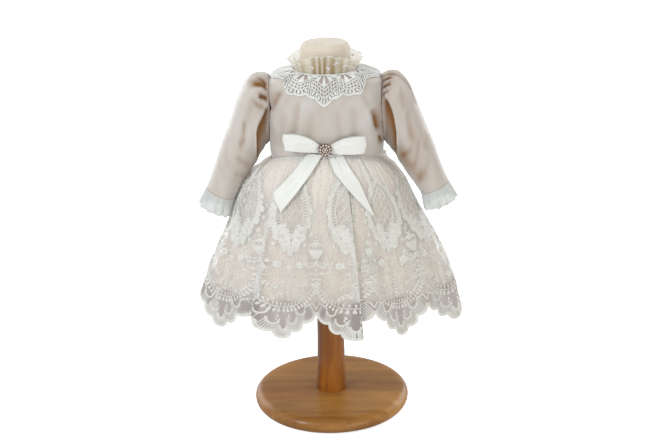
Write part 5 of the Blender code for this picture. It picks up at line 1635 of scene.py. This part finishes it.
# Stitches beside both edges of the back opening and above both cuffs.
stitchPaths = []
for grid in (rightGrid, leftGrid):
    column = stitchCut["fromSlit"]
    if abs(grid[40, -1, 0]) < abs(grid[40, 0, 0]):
        column = grid.shape[1] - 1 - column
    rows = slice(stitchCut["fromTop"], -stitchCut["fromWaist"])
    stitchPaths.append((grid[rows, column], outwardNormals(grid)[rows, column]))
for grid in sleeveGrids:
    around = np.append(np.arange(grid.shape[1]), 0)
    row = sleeveCut["stitchRow"]
    stitchPaths.append((grid[row][around], outwardNormals(grid, True)[row][around]))
stitchPoints, stitchFaces = joined([stitchRow(*path) for path in stitchPaths])
makePiece("topStitches", stitchPoints, [stitchFaces], sewingThread, np.zeros((len(stitchPoints), 2)))
print("sewing made", len(stitchPoints))


standCut = {
    "post": [(0, 385.7), (21.2, 385.7), (22.0, 384.9), (22.2, 260.0), (22.5, 120.0), (23.5, 66.0),
             (24.6, 45.0), (26.0, 34.0), (26.4, 30.0), (26.5, 24.3), (0, 24.3)],
    "base": [(0, 24), (40, 24), (112, 24), (117, 23.7), (122, 22.6), (125.6, 20.6), (128, 18), (129.5, 15.2),
             (130, 12), (129.6, 8.6), (128.5, 5.5), (126.4, 2.8), (123, 1), (120, 0.3), (116, 0), (0, 0)],
    "formFoot": [(386, 42.0, 36.0, 36.0, 2.0, 0), (390, 66.0, 46.0, 45.0, 2.2, 0),
                 (402, 79.0, 56.0, 54.0, 2.4, 0), (418, 83.5, 60.0, 58.0, 2.6, 0)],
    "formNeck": [(577, 46.5, 42.0, 41.5, 2.1, 0), (585, 41.0, 40.5, 40.5, 2.0, 0),
                 (596, 39.5, 39.5, 39.5, 2.0, 0), (610, 39.0, 39.0, 39.0, 2.0, 0),
                 (617, 35.0, 35.0, 35.0, 2.0, 0), (620.5, 26.0, 26.0, 26.0, 2.0, 0),
                 (621.5, 12.0, 12.0, 12.0, 2.0, 0)],
    # levels of the form's own rings: foot, under the bodice, neck
    "footLevels": np.linspace(386, 418, 12),
    "bodyLevels": (435, 450, 468, 492, 516, 540, 556, 565, 570, 574.5),
    "neckLevels": (577, 581, 585, 590, 596, 603, 610, 613, 615, 617, 618.5, 619.7, 620.5, 621.1, 621.5),
    "inside": 2.9, "deeper": 3.0,   # how far the jersey lies in from the bodice, and more at its creases
}


# Closes a stack of rings with a fan of triangles at each end, one to a point on the axis at the
# first level and one at the last. Gives the points and the faces, turned outwards.
def closedRings(grid, firstLevel, lastLevel):
    rows, columns = grid.shape[:2]
    points = np.concatenate([grid.reshape(-1, 3), [[0, 0, firstLevel], [0, 0, lastLevel]]])
    walls = gridFaces(rows, columns, True)
    number, last = np.arange(columns), (rows - 1) * columns
    after = np.roll(number, -1)
    fans = [pointsOf(number, after, len(points) - 2), pointsOf(after + last, number + last, len(points) - 1)]
    if facedAway(points, walls) is not walls:
        walls, fans = walls[:, ::-1], [fan[:, ::-1] for fan in fans]
    return points, [walls] + fans


# A turned body: every run of its outline longer than 12 mm is cut into pieces, and each point
# becomes a ring.
def turnedPiece(name, outline, columns, material):
    finer = [np.array(outline[:1], float)]
    for start, end in zip(outline, outline[1:]):
        pieces = max(1, int(math.dist(start, end) // 12))
        share = np.arange(1, pieces + 1)[:, None] / pieces
        finer.append(start + (np.array(end) - start) * share)
    radius, level = np.concatenate(finer)[1:-1].T[:, :, None]
    angle = evenTurns(columns)
    grid = pointsOf(radius * np.cos(angle), radius * np.sin(angle), level)
    points, faces = closedRings(grid, outline[0][1], outline[-1][1])
    return makePiece(name, points, faces, material, points[:, :2] * mm, sharp=42)


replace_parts(turnedPiece("standPost", standCut["post"], 96, beechPost), "stand_post")
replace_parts(turnedPiece("standBase", standCut["base"], 160, beechBase), "stand_base")


# The padded form: its foot, the bodice's own rings moved in, and the neck.
def makeForm():
    cut = standCut
    angle = evenTurns(96)
    foot = cut["formFoot"] + cut["formNeck"][:1]
    rows = [ringPoint(foot, level, angle) for level in cut["footLevels"]]
    for level in cut["bodyLevels"]:
        inside = cut["inside"] + cut["deeper"] * (442 < level < 566)
        rows.append(bodiceOut(np.full(len(angle), level), angle, np.full(len(angle), -inside)))
    rows += [ringPoint(cut["formNeck"], level, angle) for level in cut["neckLevels"]]
    grid = np.stack(rows)
    points, faces = closedRings(grid, cut["footLevels"][0], cut["neckLevels"][-1])
    return makePiece("formTorso", points, faces, cottonJersey,
                     np.concatenate([clothMap(grid), np.zeros((2, 2))]), 0.5)


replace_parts(makeForm(), "form_torso")
print("stand made")


floorMaterial, floorTree, floorShader, _, _ = startMaterial("paleFloor", {
    "Base Color": linear("#e4e4e4"), "Roughness": 0.9, "Specular IOR Level": 0.1,
    "Emission Color": linear("#ffffff")})
seenByCamera = addNode(floorTree, "LightPath")
floorGlow = addNode(floorTree, "MapRange", {3: 0.0, 4: 0.72},
                    {0: seenByCamera.outputs["Is Camera Ray"]})
connect(floorTree, floorShader, {"Emission Strength": floorGlow.outputs[0]})
bpy.ops.mesh.primitive_plane_add(size=14, location=(0, 2, -0.0004))
floor = bpy.context.object
floor.name = "floor"
floor.data.materials.append(floorMaterial)

world = bpy.data.worlds.new("studio")
world.use_nodes = True
daylight = world.node_tree.nodes["Background"]
daylight.inputs["Color"].default_value = (1, 1, 1, 1)
daylight.inputs["Strength"].default_value = 0.565
bpy.context.scene.world = world

# soft boxes: place, aim, size (m), watts, colour
softBoxes = [
    ((-1.35, -1.25, 1.6), (0, 0, 0.42), 0.6, 22.5, (0.95, 0.98, 1.0)),
    ((1.2, -1.5, 0.4), (0, 0, 0.35), 1.2, 11.5, (1.0, 0.965, 0.89)),
    ((0.1, 0.3, 2.2), (0, 0, 0.3), 1.4, 8.0, (1.0, 1.0, 1.0)),
    ((1.3, 1.2, 0.8), (0, 0, 0.35), 1.4, 15.0, (0.98, 0.99, 1.0)),
    ((-1.3, 1.2, 0.8), (0, 0, 0.35), 1.4, 14.0, (0.98, 0.99, 1.0)),
]
for place, aim, size, watts, tint in softBoxes:
    lamp = bpy.data.lights.new("softBox", "AREA")
    lamp.size = size
    lamp.energy = watts
    lamp.color = tint
    holder = bpy.data.objects.new("softBox", lamp)
    holder.location = place
    holder.rotation_euler = (Vector(aim) - Vector(place)).to_track_quat("-Z", "Y").to_euler()
    bpy.context.scene.collection.objects.link(holder)

cameraPlace = {"location": (0.0851, -1.9481, 1.0321), "down": 19.928, "yaw": -2.428, "roll": -1.1,
               "lens": 69.356}
down, yaw, roll = (math.radians(cameraPlace[k]) for k in ("down", "yaw", "roll"))
ahead = Vector((math.sin(yaw) * math.cos(down), math.cos(yaw) * math.cos(down), -math.sin(down)))
sideways = ahead.cross(Vector((0, 0, 1))).normalized()
above = sideways.cross(ahead)
right = sideways * math.cos(roll) + above * math.sin(roll)
upward = above * math.cos(roll) - sideways * math.sin(roll)
cameraData = bpy.data.cameras.new("camera")
cameraData.sensor_width = 36.0
cameraData.lens = cameraPlace["lens"]
camera = bpy.data.objects.new("camera", cameraData)
camera.matrix_world = Matrix((
    (right.x, upward.x, -ahead.x, cameraPlace["location"][0]),
    (right.y, upward.y, -ahead.y, cameraPlace["location"][1]),
    (right.z, upward.z, -ahead.z, cameraPlace["location"][2]),
    (0, 0, 0, 1)))
bpy.context.scene.collection.objects.link(camera)
bpy.context.scene.camera = camera
bpy.context.scene.view_settings.view_transform = "Standard"
